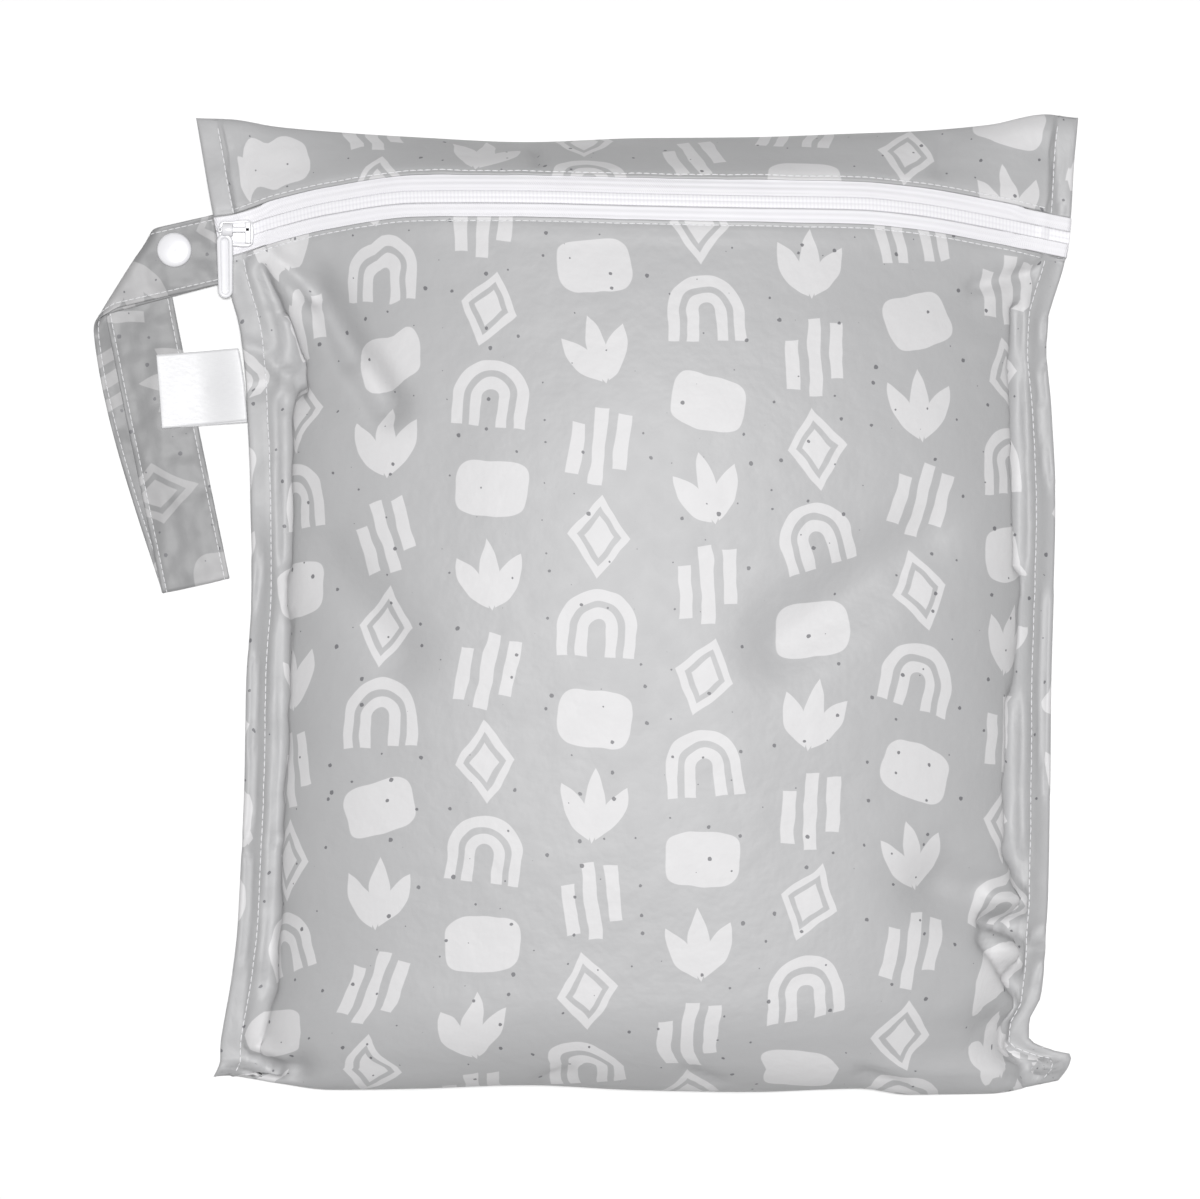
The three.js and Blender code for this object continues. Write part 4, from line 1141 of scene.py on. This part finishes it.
def band_row(distance):
    """Row of a place in the zipper's band, by its distance from the band's middle line."""
    half = SLIT_WIDTH / 2
    inside = np.clip(distance, -half, half)
    row = lerp(SLIT_LOW_ROW, SLIT_HIGH_ROW, (inside + half) / SLIT_WIDTH)
    return row + (distance - inside) * ROWS_PER_MM


def band_grid(low, high, across_steps, x_step):
    """A strip of the band, dropped along the normal of the cloth's face by less at the seams.

    low, high: distances from the middle line, at the seams and between them.
    """
    left = side_x(-1, 0.925)[0]
    right = side_x(1, 0.925)[0]
    count = int((right - left) / x_step)
    share = np.linspace(0, 1, count + 1)[:, None]
    over = np.linspace(0, 1, across_steps + 1)[None, :]
    near = np.minimum(share, 1 - share) * (right - left)
    flap = smooth((near - SEAM_WIDTH - 8) / 8)
    distance = lerp(lerp(low[0], low[1], flap), lerp(high[0], high[1], flap), over)
    row = band_row(distance)
    x = lerp(side_x(-1, row)[0], side_x(1, row)[0], share)
    points = np.stack([x, row_y(x, row), front_z(x, row)], axis=2)
    normal = normals_of(points)
    drop = lerp(CLEARANCE / 3, CLOTH_SHEET + 0.15, smooth((near - SEAM_WIDTH) / 5))
    return points - normal * drop[..., None], normal


def strip(name, low, high, material, x_step, across_steps, relief):
    """A closed strip of the band; relief lifts its face by a height for each place."""
    points, normal = band_grid(low, high, across_steps, x_step)
    places = flat_places(points)
    top = points + normal * relief(places)[:, :, None]
    under = points - normal * TAPE_THICK
    return closed_shell(name, top, under, material, places, places)


def tape_relief(places):
    """A tape that is a little wavy and thinner along its edges."""
    u, v = places[..., 0], places[..., 1]
    edge = np.abs(v) - np.abs(v).max()
    return wave_sum(TAPE_WAVES, u, v) - TAPE_EDGE * bump(edge / 0.5)


def coil_relief(places):
    """Two rows of ribs, half a pitch apart, with a groove between them and rounded outer sides."""
    u, v = places[..., 0], places[..., 1]
    half = COIL_WIDTH / 2
    ribs = 0.5 + 0.5 * np.cos((u + np.where(v > 0, COIL_PITCH / 2, 0)) * math.tau / COIL_PITCH)
    crown = rounded(half - np.abs(v), half * 0.8)
    return crown * (COIL_CROWN + COIL_RIB * ribs) - COIL_GROOVE * bump(v / 0.32) - COIL_SUNK


def make_zipper():
    coil_edge = COIL_WIDTH / 2 + CLEARANCE / 3
    edge = SLIT_WIDTH / 2
    lower = strip(
        "tape_lower", (-edge + CLEARANCE, -edge - TAPE_LAP), (-coil_edge, -coil_edge),
        TAPE, 1.6, 12, tape_relief,
    )
    upper = strip(
        "tape_upper", (coil_edge, coil_edge), (edge - CLEARANCE, edge + 2),
        TAPE, 1.6, 8, tape_relief,
    )
    half = COIL_WIDTH / 2
    coil = strip("coil", (-half, -half), (half, half), COIL, 0.33, 12, coil_relief)
    return lower, upper, coil


def moulded_plate(outline, core, heights):
    """A moulded plate: rings shrink from an outline onto its core line, at heights given for each ring.

    outline, core: points (n, 2) round the plate. heights: rows of (share of the way out, top, bottom).
    """
    shares, tops, bottoms = np.array(heights).T
    rings = core[None] + (outline - core)[None] * shares[:, None, None]
    flat = rings.shape[:2] + (1,)
    top = np.concatenate([rings, np.broadcast_to(tops[:, None, None], flat)], axis=2)
    under = np.concatenate([rings, np.broadcast_to(bottoms[:, None, None], flat)], axis=2)
    grid = np.concatenate([top, under[::-1]])
    return grid.reshape(-1, 3), quads_round(len(grid), len(outline), columns_meet=True)


SIDE_STEPS = 25  # up the side of a plate


def stadium(width, length, count=64):
    """Outline and core line of a long plate with round ends, which runs from 0 to -length in y."""
    angle = np.linspace(0, math.tau, count, endpoint=False)
    radius = width / 2
    core_y = np.where(np.sin(angle) > 0, -radius, -length + radius)
    outline = np.stack([radius * np.cos(angle), core_y + radius * np.sin(angle)], axis=1)
    core = np.stack([np.zeros(count), core_y], axis=1)
    return with_sides(outline), with_sides(core)


def with_sides(line):
    """Adds points up a plate's right side and at the top of its left one, which is a single long step."""
    line = np.roll(line, -1, axis=0)
    split = len(line) // 2 - 1
    share = np.linspace(0, 1, SIDE_STEPS + 1)[1:-1, None]
    down = lerp(line[split - 1], line[split], share)
    up = lerp(line[-1], line[0], share)
    return np.concatenate([line[:split], down, line[split:], up])


def ring_about_x(outer, inner, width, soft=0.3, sides=48):
    """A ring round the X axis: a rounded rectangle carried once round."""
    edge = width / 2
    cut = soft * 0.3
    profile = np.array([
        (-edge + soft, outer), (edge - soft, outer), (edge - cut, outer - cut),
        (edge, outer - soft), (edge, inner + soft), (edge - cut, inner + cut),
        (edge - soft, inner), (-edge + soft, inner), (-edge + cut, inner + cut),
        (-edge, inner + soft), (-edge, outer - soft), (-edge + cut, outer - cut),
    ])
    angle = np.linspace(0, math.tau, sides + 1)[:-1, None]
    points = np.stack([
        np.broadcast_to(profile[None, :, 0], (sides, len(profile))),
        profile[None, :, 1] * np.cos(angle),
        profile[None, :, 1] * np.sin(angle),
    ], axis=2)
    return points.reshape(-1, 3), quads_round(sides, len(profile), rows_meet=True, columns_meet=True)


def soft_box(low, high, soft):
    """A box with rounded edges: three nested squares at each end, joined by its sides."""
    low, high = np.array(low, float), np.array(high, float)
    insets = [(1.0, 0.0), (0.3, 0.09), (0.0, 1.0)]
    levels = [(low[2] + soft * z, soft * inset) for inset, z in insets]
    levels += [(high[2] - soft * z, soft * inset) for inset, z in reversed(insets)]
    corner = np.linspace(0, math.pi / 2, 5)
    rings = []
    for z, inset in levels:
        radius = soft * 1.2
        ring = []
        for k, (sx, sy) in enumerate([(1, 1), (-1, 1), (-1, -1), (1, -1)]):
            cx = (high[0] if sx > 0 else low[0]) - sx * radius
            cy = (high[1] if sy > 0 else low[1]) - sy * radius
            turn = corner + k * math.pi / 2
            reach = radius - inset
            ring.append(np.stack([cx + reach * np.cos(turn), cy + reach * np.sin(turn)], axis=1))
        ring = np.concatenate(ring)
        rings.append(np.concatenate([ring, np.full((len(ring), 1), z)], axis=1))
    rings = np.stack(rings)
    rows, count = rings.shape[:2]
    faces = [list(face) for face in quads_round(rows, count, columns_meet=True)[:, ::-1]]
    faces += [list(range(count))[::-1], list(range((rows - 1) * count, rows * count))]
    return rings.reshape(-1, 3), faces


def joined(parts):
    """Several parts' points and faces as one list."""
    points, faces, first = [], [], 0
    for part_points, part_faces in parts:
        points.append(part_points)
        faces += [[int(corner) + first for corner in face] for face in part_faces]
        first += len(part_points)
    return np.concatenate(points), faces


def facing_out(piece):
    """Turns a closed piece's faces outwards."""
    work = bmesh.new()
    work.from_mesh(piece.data)
    bmesh.ops.recalc_face_normals(work, faces=work.faces)
    work.to_mesh(piece.data)
    work.free()
    return piece


# Rings of the slider's plate. out: share of the way to the outline. top, bottom: heights.
SLIDER_RINGS = [
    (0.0, 1.22, 0.1),
    (0.55, 1.2, 0.1),
    (0.72, 1.16, 0.1),
    (0.8, 1.36, 0.06),
    (0.9, 1.4, 0.0),
    (0.96, 1.34, 0.06),
    (1.0, 1.1, 0.3),
]
POST_FOOT = 0.5

SLIDER_LOW, SLIDER_HIGH = (np.array(corner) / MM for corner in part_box("zipper_slider"))
SLIDER_X = (SLIDER_LOW[0] + SLIDER_HIGH[0]) / 2
SLIDER_Y = (SLIDER_LOW[1] + SLIDER_HIGH[1]) / 2
SLIDER_Z = SLIDER_LOW[2]
KNUCKLE_RADIUS = BAR_RADIUS + KNUCKLE_CLEARANCE + KNUCKLE_WALL
BAR_Z = SLIDER_PLATE + KNUCKLE_RADIUS + CLEARANCE
BAR_FROM = -SLIDER_LENGTH / 2
BAR_TO = SLIDER_LENGTH / 2 - CROSSPIECE_INSET
KNUCKLE_X = BAR_FROM + POST_WIDTH + CLEARANCE + KNUCKLE_WIDTH / 2


def make_slider():
    """Plate with a pinched waist and side rails, bridge bar, outer post and the wide inner post."""
    outline, core = stadium(SLIDER_WIDTH, SLIDER_LENGTH, 48)
    outline = np.stack([outline[:, 1] + SLIDER_LENGTH / 2, outline[:, 0]], axis=1)
    core = np.stack([core[:, 1] + SLIDER_LENGTH / 2, core[:, 0]], axis=1)
    corner = np.array([SLIDER_LENGTH / 2, SLIDER_WIDTH / 2])
    outline = lerp(outline, np.clip(outline * 1.22, -corner, corner), 0.75)
    outline[:, 1] *= 1 - 0.12 * bump((outline[:, 0] + 2) / 3)
    plate = moulded_plate(outline, core, SLIDER_RINGS)
    front, back = BAR_OFFSET - BAR_RADIUS, BAR_OFFSET + BAR_RADIUS
    top = BAR_Z + BAR_RADIUS
    half = CROSSPIECE_DEPTH / 2
    bar = soft_box((BAR_FROM, front, BAR_Z - BAR_RADIUS), (BAR_TO, back, top), 0.55)
    post = soft_box((BAR_FROM, front, POST_FOOT), (BAR_FROM + POST_WIDTH, back, top), 0.3)
    inner = soft_box((BAR_TO - CROSSPIECE_WIDTH, -half, POST_FOOT), (BAR_TO, half, top), 0.35)
    points, faces = joined([plate, bar, post, inner])
    points = points + (SLIDER_X, SLIDER_Y, SLIDER_Z)
    return facing_out(add_object("slider", points, faces, PLASTIC))


def make_pull():
    """Blade with a rim round a sunk middle, and the ring that goes round the slider's bar."""
    neck = KNUCKLE_RADIUS * 0.6
    length = PULL_LENGTH - neck
    outline, core = stadium(PULL_WIDTH, length)
    outline[:, 0] *= 1 - 0.1 * smooth((-outline[:, 1] / length - 0.1) / 0.9)
    half = PULL_THICK / 2
    sunk = half - PULL_RECESS
    rim = 1 - PULL_RIM / (PULL_WIDTH / 2)
    heights = [
        (0.0, sunk, -half + 0.1),
        (rim - 0.14, sunk, -half + 0.1),
        (rim - 0.04, half - PULL_RECESS * 0.85, -half + 0.08),
        (rim + 0.04, half - 0.08, -half + 0.02),
        (rim + 0.14, half, -half),
        (0.84, half, -half),
        (0.93, half - 0.14, -half + 0.14),
        (1.0, half * 0.35, -half * 0.35),
    ]
    blade = moulded_plate(outline + (0, -neck), core + (0, -neck), heights)
    shift = BAR_FROM + PULL_WIDTH / 2 - 0.6 - KNUCKLE_X
    blade = (blade[0] + (shift, 0, 0), blade[1])
    ring = ring_about_x(KNUCKLE_RADIUS, BAR_RADIUS + KNUCKLE_CLEARANCE, KNUCKLE_WIDTH)
    points, faces = joined([blade, ring])
    drop = SLIDER_Z + BAR_Z - (SEAM_HEIGHT + CLOTH_WALL + CLEARANCE + PULL_THICK / 2 + 0.4)
    tilt = math.asin(drop / PULL_LENGTH)
    y = points[:, 1] * math.cos(tilt) - points[:, 2] * math.sin(tilt)
    z = points[:, 1] * math.sin(tilt) + points[:, 2] * math.cos(tilt)
    points = np.stack([points[:, 0], y, z], axis=1)
    points = points + (SLIDER_X + KNUCKLE_X, SLIDER_Y + BAR_OFFSET, SLIDER_Z + BAR_Z)
    return facing_out(add_object("pull_tab", points, faces, PLASTIC))


# --- Strap -------------------------------------------------------------------------------------------


def heading(degrees):
    return np.array([math.cos(math.radians(degrees)), math.sin(math.radians(degrees))])


def seam_edge(y):
    return edge_left(y / BAG_LENGTH) * HALF_WIDTH


STRAP_Y = STRAP_PLACE * BAG_LENGTH
STRAP_START = np.array([seam_edge(STRAP_Y) - CLEARANCE, STRAP_Y])
STRAP_PITCH = STRAP_THICK + STRAP_LAYER_GAP
STRAP_LEVELS = [
    STRAP_TOP_HEIGHT,
    STRAP_THICK / 2,
    STRAP_THICK / 2 + STRAP_PITCH,
    STRAP_THICK / 2 + 2 * STRAP_PITCH,
]


def strap_flat(along, over):
    """A place on the flat ribbon, before its folds: along from the seam, over from the middle line."""
    return (
        STRAP_START
        + np.asarray(along)[..., None] * heading(STRAP_ANGLE)
        + np.asarray(over)[..., None] * heading(STRAP_ANGLE + 90)
    )


class Fold:
    """A fold line in the plan, with its way out, its bend's radius and whether it goes up or down."""

    def __init__(self, point, outward, level_from, level_to):
        self.point = np.asarray(point)
        self.outward = heading(outward)
        self.radius = abs(level_to - level_from) / 2
        self.way = math.copysign(1, level_to - level_from)
        self.length = math.pi * self.radius

    def past(self, place):
        return (place - self.point) @ self.outward

    def mirror(self, place):
        return place + (self.length - 2 * self.past(place))[..., None] * self.outward


DIAGONAL = strap_flat(STRAP_RUN, 0.0)
FOLDS = [Fold(DIAGONAL, STRAP_FOLD_ANGLE - 90, STRAP_LEVELS[0], STRAP_LEVELS[1])]


def strap_layer(along, over, count):
    place = strap_flat(along, over)
    for fold in FOLDS[:count]:
        place = fold.mirror(place)
    return place


DROP_ANGLE = 2 * STRAP_FOLD_ANGLE - STRAP_ANGLE
STRAP_END = strap_layer(STRAP_RUN + STRAP_DROP, 0.0, 1)
FOLDS.append(Fold(STRAP_END, DROP_ANGLE + STRAP_END_SKEW, STRAP_LEVELS[1], STRAP_LEVELS[2]))
FOLDS.append(Fold(DIAGONAL, STRAP_FOLD_ANGLE - 90, STRAP_LEVELS[2], STRAP_LEVELS[3]))


def strap_points(along, over):
    """Carries flat places round each fold in turn: a half circle in the bend, a mirror image past it."""
    place = strap_flat(along, over)
    z = np.full(place.shape[:-1], float(STRAP_LEVELS[0]))
    live = np.ones(z.shape, dtype=bool)
    for fold in FOLDS:
        past = fold.past(place)
        live = live & (past > 0)
        bending = live & (past < fold.length)
        through = live & (past >= fold.length)
        turn = np.clip(past / fold.radius, 0, math.pi)
        bent = place + (fold.radius * np.sin(turn) - past)[..., None] * fold.outward
        place = np.where(bending[..., None], bent, np.where(through[..., None], fold.mirror(place), place))
        z = z + np.where(bending, fold.way * fold.radius * (1 - np.cos(turn)), 0)
        z = z + np.where(through, fold.way * 2 * fold.radius, 0)
        live = through
    return np.concatenate([place, z[..., None]], axis=-1)


def along_at_fold(index, distance, over):
    """How far along the ribbon one of its edges is a distance past a fold."""
    fold = FOLDS[index]
    start = fold.past(strap_layer(0.0, over, index))
    slope = fold.past(strap_layer(1.0, over, index)) - start
    return (distance - start) / slope


def along_at_seam(over):
    place = strap_flat(0.0, over)
    return (seam_edge(place[1]) - CLEARANCE - place[0]) / heading(STRAP_ANGLE)[0]


def strap_rows():
    """Along at both edges for each row of the ribbon, closer in the bends, and where each span starts."""
    edges = (-STRAP_WIDTH / 2, STRAP_WIDTH / 2)

    def at_fold(index, share):
        return [along_at_fold(index, FOLDS[index].length * share, over) for over in edges]

    last = strap_layer(0.0, 0.0, 3)
    forward = strap_layer(1.0, 0.0, 3) - last
    loose = (seam_edge(STRAP_Y) + STRAP_TUCK + CLEARANCE - last[0]) / forward[0]
    keys = [
        ([along_at_seam(over) for over in edges], 20),
        (at_fold(0, 0), 12),
        (at_fold(0, 1), 56),
        (at_fold(1, 0), 9),
        (at_fold(1, 1), 56),
        (at_fold(2, 0), 9),
        (at_fold(2, 1), 16),
        ([loose, loose], 0),
    ]
    rows = []
    for (key, steps), (following, _) in zip(keys, keys[1:]):
        rows += [lerp(np.array(key), np.array(following), step / steps) for step in range(steps)]
    return np.array(rows + [np.array(keys[-1][0])]), np.array([np.mean(key) for key, _ in keys])


STRAP_ROWS, STRAP_KEYS = strap_rows()


SLIP_BEFORE = 45  # how far before the last fold the slip starts


def strap_shift(along):
    """How far the ribbon slips sideways: the lower layer bows out, and the end slips at the seam."""
    bow_from, bow_to = STRAP_KEYS[2], STRAP_KEYS[3]
    share = np.clip((along - bow_from) / (bow_to - bow_from), 0, 1)
    bow = STRAP_BOW * np.sin(math.pi * share ** 0.7)
    slip_from, slip_to = STRAP_KEYS[5] - SLIP_BEFORE, STRAP_KEYS[7]
    slip = smooth((along - slip_from) / (slip_to - slip_from))
    return bow - STRAP_SLIP * slip


def strap_surface(overs):
    """The ribbon's middle surface for a list of overs: points, normals, ripples and flat places."""
    share = (overs[None, :] + STRAP_WIDTH / 2) / STRAP_WIDTH
    along = lerp(STRAP_ROWS[:, :1], STRAP_ROWS[:, 1:], share)
    over = np.broadcast_to(overs[None, :], along.shape)
    points = strap_points(along, over + strap_shift(along))
    normal = normals_of(points)
    top_layer = 1 - smooth((along - STRAP_KEYS[1] + 3) / 6)
    ripple = wave_sum(STRAP_RIPPLES, along, over) * (0.5 + 1.5 * top_layer)
    near_snap = np.hypot(along - SNAP_INSET, over + SNAP_OFFSET)
    pressed = 0.15 * bump((near_snap - SNAP_DIAMETER / 2) / 1.6) * top_layer
    ripple = ripple * smooth((near_snap - 5) / 6) - pressed
    return points, normal, ripple, np.stack([along, over], axis=2)


STRAP_CUT = (60, 40)  # where the ribbon's two faces lie on the print
STRAP_UNDER_CUT = (60, 240)
STRAP_STEPS = [0, 0.05, 0.2, 0.5, 1.0, 1.35, 1.7, 2.05, 2.6, 3.6, 5.2, 7.2, 9.4]  # in from an edge


def strap_overs():
    side = STRAP_WIDTH / 2 - np.array(STRAP_STEPS)
    return np.concatenate([-side, [0], side[::-1]])


def make_strap():
    """The ribbon: two plies, puffed between its topstitched edges and drawn in along them."""
    overs = strap_overs()
    points, normal, ripple, flat = strap_surface(overs)
    inset = STRAP_WIDTH / 2 - np.abs(overs)
    from_sewing = inset - STRAP_STITCH_INSET
    half = STRAP_HALF * rounded(inset, 0.5) + STRAP_PUFF * smooth((inset - 2.4) / 4)
    half = half - STRAP_DRAWN * bump(from_sewing / 0.5)
    along, over = flat[..., 0], flat[..., 1]
    pinch = STRAP_PINCH * waves(along, over, STRAP_STITCH_PITCH, 8, 53) * bump(from_sewing / 1.6)
    middle = points + normal * ripple[..., None]
    swell = (half * (inset > 0) + pinch * (inset > 0.3))[..., None]
    top = middle + normal * swell
    under = middle - normal * swell
    top_cut, under_cut = flat + STRAP_CUT, flat + STRAP_UNDER_CUT
    return closed_shell("strap_cloth", top, under, SHADED_STRAP_CLOTH, top_cut, under_cut)


def make_strap_stitches():
    """Topstitching along both edges of the ribbon, over both faces."""
    lines = []
    edge = STRAP_WIDTH / 2 - STRAP_STITCH_INSET
    near = np.array([-0.1, 0, 0.1])  # a line's neighbours on the ribbon give its normals
    points, normal, ripple, _ = strap_surface(np.concatenate([near - edge, near + edge]))
    for column in (1, 4):
        for way in (1, -1):
            lean = normal[:, column]
            path = points[:, column] + lean * (ripple[:, column, None] + way * STRAP_SEWN_HALF)
            lines.append(stitch_line(path, lean * way, STRAP_STITCH_PITCH, THREAD_RADIUS * 0.9))
    return sew("strap_stitches", lines)


# --- Snap and label ----------------------------------------------------------------------------------


def turned_piece(name, profile, centre, sides=64):
    """A profile of (radius, height) carried once round an upright axis."""
    profile = np.array(profile)
    angle = np.linspace(0, math.tau, sides, endpoint=False)[:, None]
    points = np.stack([
        centre[0] + profile[None, :, 0] * np.cos(angle),
        centre[1] + profile[None, :, 0] * np.sin(angle),
        np.broadcast_to(profile[None, :, 1], (sides, len(profile))),
    ], axis=2)
    faces = quads_round(sides, len(profile), rows_meet=True)
    return facing_out(add_object(name, points.reshape(-1, 3), faces, PLASTIC))


SNAP_POST = 1.7  # radius of the post between the snap's halves
# Outer sides of the snap's halves: a share of the radius, and a share of the height.
CAP_PROFILE = [
    (0.93, 0), (0.985, 0.06), (1, 0.16), (1, 0.42), (0.985, 0.56), (0.955, 0.68),
    (0.91, 0.77), (0.84, 0.84), (0.72, 0.9), (0.5, 0.96), (0.25, 0.99), (0.13, 1),
]
SOCKET_PROFILE = [(0, 1), (0.8, 1), (0.95, 0.92), (1, 0.7)]


def make_snap():
    """The cap: a shallow dome with a soft shoulder and a moulding dimple. The back: a plain ring."""
    centre = strap_flat(SNAP_INSET, -SNAP_OFFSET)
    middle = (STRAP_LEVELS[0] + STRAP_LEVELS[3]) / 2
    seat = STRAP_LEVELS[0] + STRAP_THICK / 2 + CLEARANCE * 0.4
    top = STRAP_LEVELS[0] + STRAP_THICK / 2 + CLEARANCE + SNAP_HEIGHT
    radius = SNAP_DIAMETER / 2
    post = [(0, middle + 0.15), (SNAP_POST, middle + 0.15), (SNAP_POST, seat)]
    dome = [(radius * out, seat + (top - seat) * up) for out, up in CAP_PROFILE]
    dimple = [(radius * 0.08, top - 0.03), (0, top - 0.06)]
    cap = turned_piece("snap_dome", post + dome + dimple, centre)

    low = STRAP_LEVELS[3] - STRAP_THICK / 2 - CLEARANCE
    radius = SNAP_BACK_DIAMETER / 2
    ring = [(radius * out, low - SNAP_BACK_HEIGHT * down) for out, down in SOCKET_PROFILE]
    rim = [(radius, low - 0.15), (radius * 0.96, low), (SNAP_POST, low)]
    post = [(SNAP_POST, middle - 0.15), (0, middle - 0.15)]
    back = turned_piece("snap_socket", ring + rim + post, centre, 48)
    return cap, back


LABEL_ROWS = 40  # in each of the label's two layers
LABEL_WAVE = 0.35
LABEL_CORNER_LIFT = 0.9  # of the free corner towards the bag's bottom
LABEL_SPREAD = 0.03  # how much wider its free end is
LABEL_SKEW = 0.7  # how far the under layer has slipped sideways by the seam


def make_label():
    """A folded satin tab: out from the seam over the strap, round a tight fold and back under itself."""
    y = LABEL_PLACE * BAG_LENGTH
    start = np.array([seam_edge(y) - CLEARANCE, y])
    rest = STRAP_LEVELS[2] + STRAP_THICK / 2 + CLEARANCE + 0.5
    out = np.linspace(0, 1, LABEL_ROWS)
    turn = np.linspace(0, math.pi, 9)[1:-1]
    still = np.zeros(LABEL_ROWS + len(turn))
    reach = np.concatenate([out, 1 + LABEL_GAP / LABEL_LENGTH * np.sin(turn), out[::-1]]) * LABEL_LENGTH
    level = LABEL_GAP * np.concatenate([np.ones(LABEL_ROWS), np.cos(turn), -np.ones(LABEL_ROWS)])
    skew = np.concatenate([still, out])
    overs = np.linspace(-1, 1, 27)
    share = reach[:, None] / LABEL_LENGTH + 0 * overs[None, :]
    settle = smooth(share / 0.55)
    z = lerp(SEAM_HEIGHT, rest, settle) + level[:, None]
    z = z + LABEL_WAVE * waves(share * LABEL_LENGTH, overs * 12, 13, 11, 61) * smooth(share * 3)
    z = z + LABEL_CORNER_LIFT * smooth((share - 0.7) / 0.3) * smooth((overs[None, :] - 0.1) / 0.9)
    over = overs[None, :] * LABEL_HEIGHT / 2 * (1 + LABEL_SPREAD * share) + skew[:, None] * LABEL_SKEW
    plan = start + reach[:, None, None] * heading(LABEL_ANGLE)
    plan = plan + over[..., None] * heading(LABEL_ANGLE + 90)
    slack = np.minimum(seam_edge(plan[..., 1]) - CLEARANCE - start[0], 0) * (1 - np.clip(share, 0, 1))
    points = np.concatenate([plan + np.stack([slack, 0 * slack], axis=2), z[..., None]], axis=2)
    ply = normals_of(points) * LABEL_PLY
    places = flat_places(points)
    return closed_shell("label_tab", points + ply, points - ply, SATIN, places, places)


# --- Put together ------------------------------------------------------------------------------------

bag_cloth = make_body()
tape_lower, tape_upper, coil = make_zipper()
slider = make_slider()
pull_tab = make_pull()
strap_cloth = make_strap()
snap_dome, snap_socket = make_snap()
label_tab = make_label()
seam_stitches = make_seam_stitches()
hem_stitches = make_hem_stitches()
strap_stitches = make_strap_stitches()

# piece, body it rides on, node of the part that it replaces
PIECES = [
    (bag_cloth, "bag", "body_cloth"),
    (tape_lower, "bag", "zipper_tape_lower"),
    (tape_upper, "bag", "zipper_tape_upper"),
    (coil, "bag", "zipper_coil"),
    (slider, "bag", "zipper_slider"),
    (pull_tab, "pull", "zipper_pull"),
    (strap_cloth, "bag", "strap"),
    (snap_dome, "bag", "snap_cap"),
    (snap_socket, "bag", "snap_back"),
    (label_tab, "bag", "label"),
]
for piece, body, node in PIECES:
    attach(piece, body)
    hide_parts(node)
for piece in (seam_stitches, hem_stitches, strap_stitches):
    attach(piece, "bag")


# --- Floor, light and camera -------------------------------------------------------------------------

VIEW_X = -12.96  # middle of the photograph's frame, on the part
VIEW_Y = 0.87
VIEW_WIDTH = 415.9  # width of the frame at the outline's height
OUTLINE_HEIGHT = 7
CAMERA_DISTANCE = 1700
SENSOR = 36


FLOOR_SIZE = 2500
FLOOR_Z = -0.4
WORLD_STRENGTH = 0.03
# name, x, y, z, width, power: the lights point at the bag's middle
LIGHTS = [
    ("key", 20, 40, 2400, 300, 68),
    ("left_lamp", -1700, 150, 1250, 700, 3),
    ("right_lamp", 1700, -150, 1250, 700, 3),
]


def make_floor():
    paint = Paint("PaleFloor", Specular_IOR_Level=0.2)
    grain = paint.noise(paint.object_place(), 40.0, 2.0)
    paint.finish(Base_Color=paint.mix(grain, *FLOOR_COLOURS), Roughness=grain * 0.1 + 0.85)
    corners = [(x * FLOOR_SIZE, y * FLOOR_SIZE, FLOOR_Z) for x, y in ((-1, -1), (1, -1), (1, 1), (-1, 1))]
    floor = add_object("floor", corners, [(0, 1, 2, 3)], paint.material)


def make_light(name, place, width, power):
    """A square soft light that points at the bag's middle."""
    data = bpy.data.lights.new(name, "AREA")
    data.shape = "SQUARE"
    data.size = width * MM
    data.energy = power
    lamp = bpy.data.objects.new(name, data)
    lamp.location = Vector(place) * MM
    lamp.rotation_euler = (Vector((0, 0, 20)) - Vector(place)).to_track_quat("-Z", "Y").to_euler()
    bpy.context.scene.collection.objects.link(lamp)


def make_world(strength):
    world = bpy.data.worlds.new("Studio")
    bpy.context.scene.world = world
    world.use_nodes = True
    back = world.node_tree.nodes["Background"]
    back.inputs["Color"].default_value = (1, 1, 1, 1)
    back.inputs["Strength"].default_value = strength


def make_camera():
    data = bpy.data.cameras.new("Camera")
    data.sensor_width = SENSOR
    data.lens = SENSOR * CAMERA_DISTANCE / VIEW_WIDTH
    data.clip_end = 20
    camera = bpy.data.objects.new("Camera", data)
    camera.location = Vector((VIEW_X, VIEW_Y, OUTLINE_HEIGHT + CAMERA_DISTANCE)) * MM
    bpy.context.scene.collection.objects.link(camera)
    bpy.context.scene.camera = camera


make_floor()
for name, x, y, z, width, power in LIGHTS:
    make_light(name, (x, y, z), width, power)
make_world(WORLD_STRENGTH)
make_camera()
bpy.context.scene.view_settings.view_transform = "Standard"
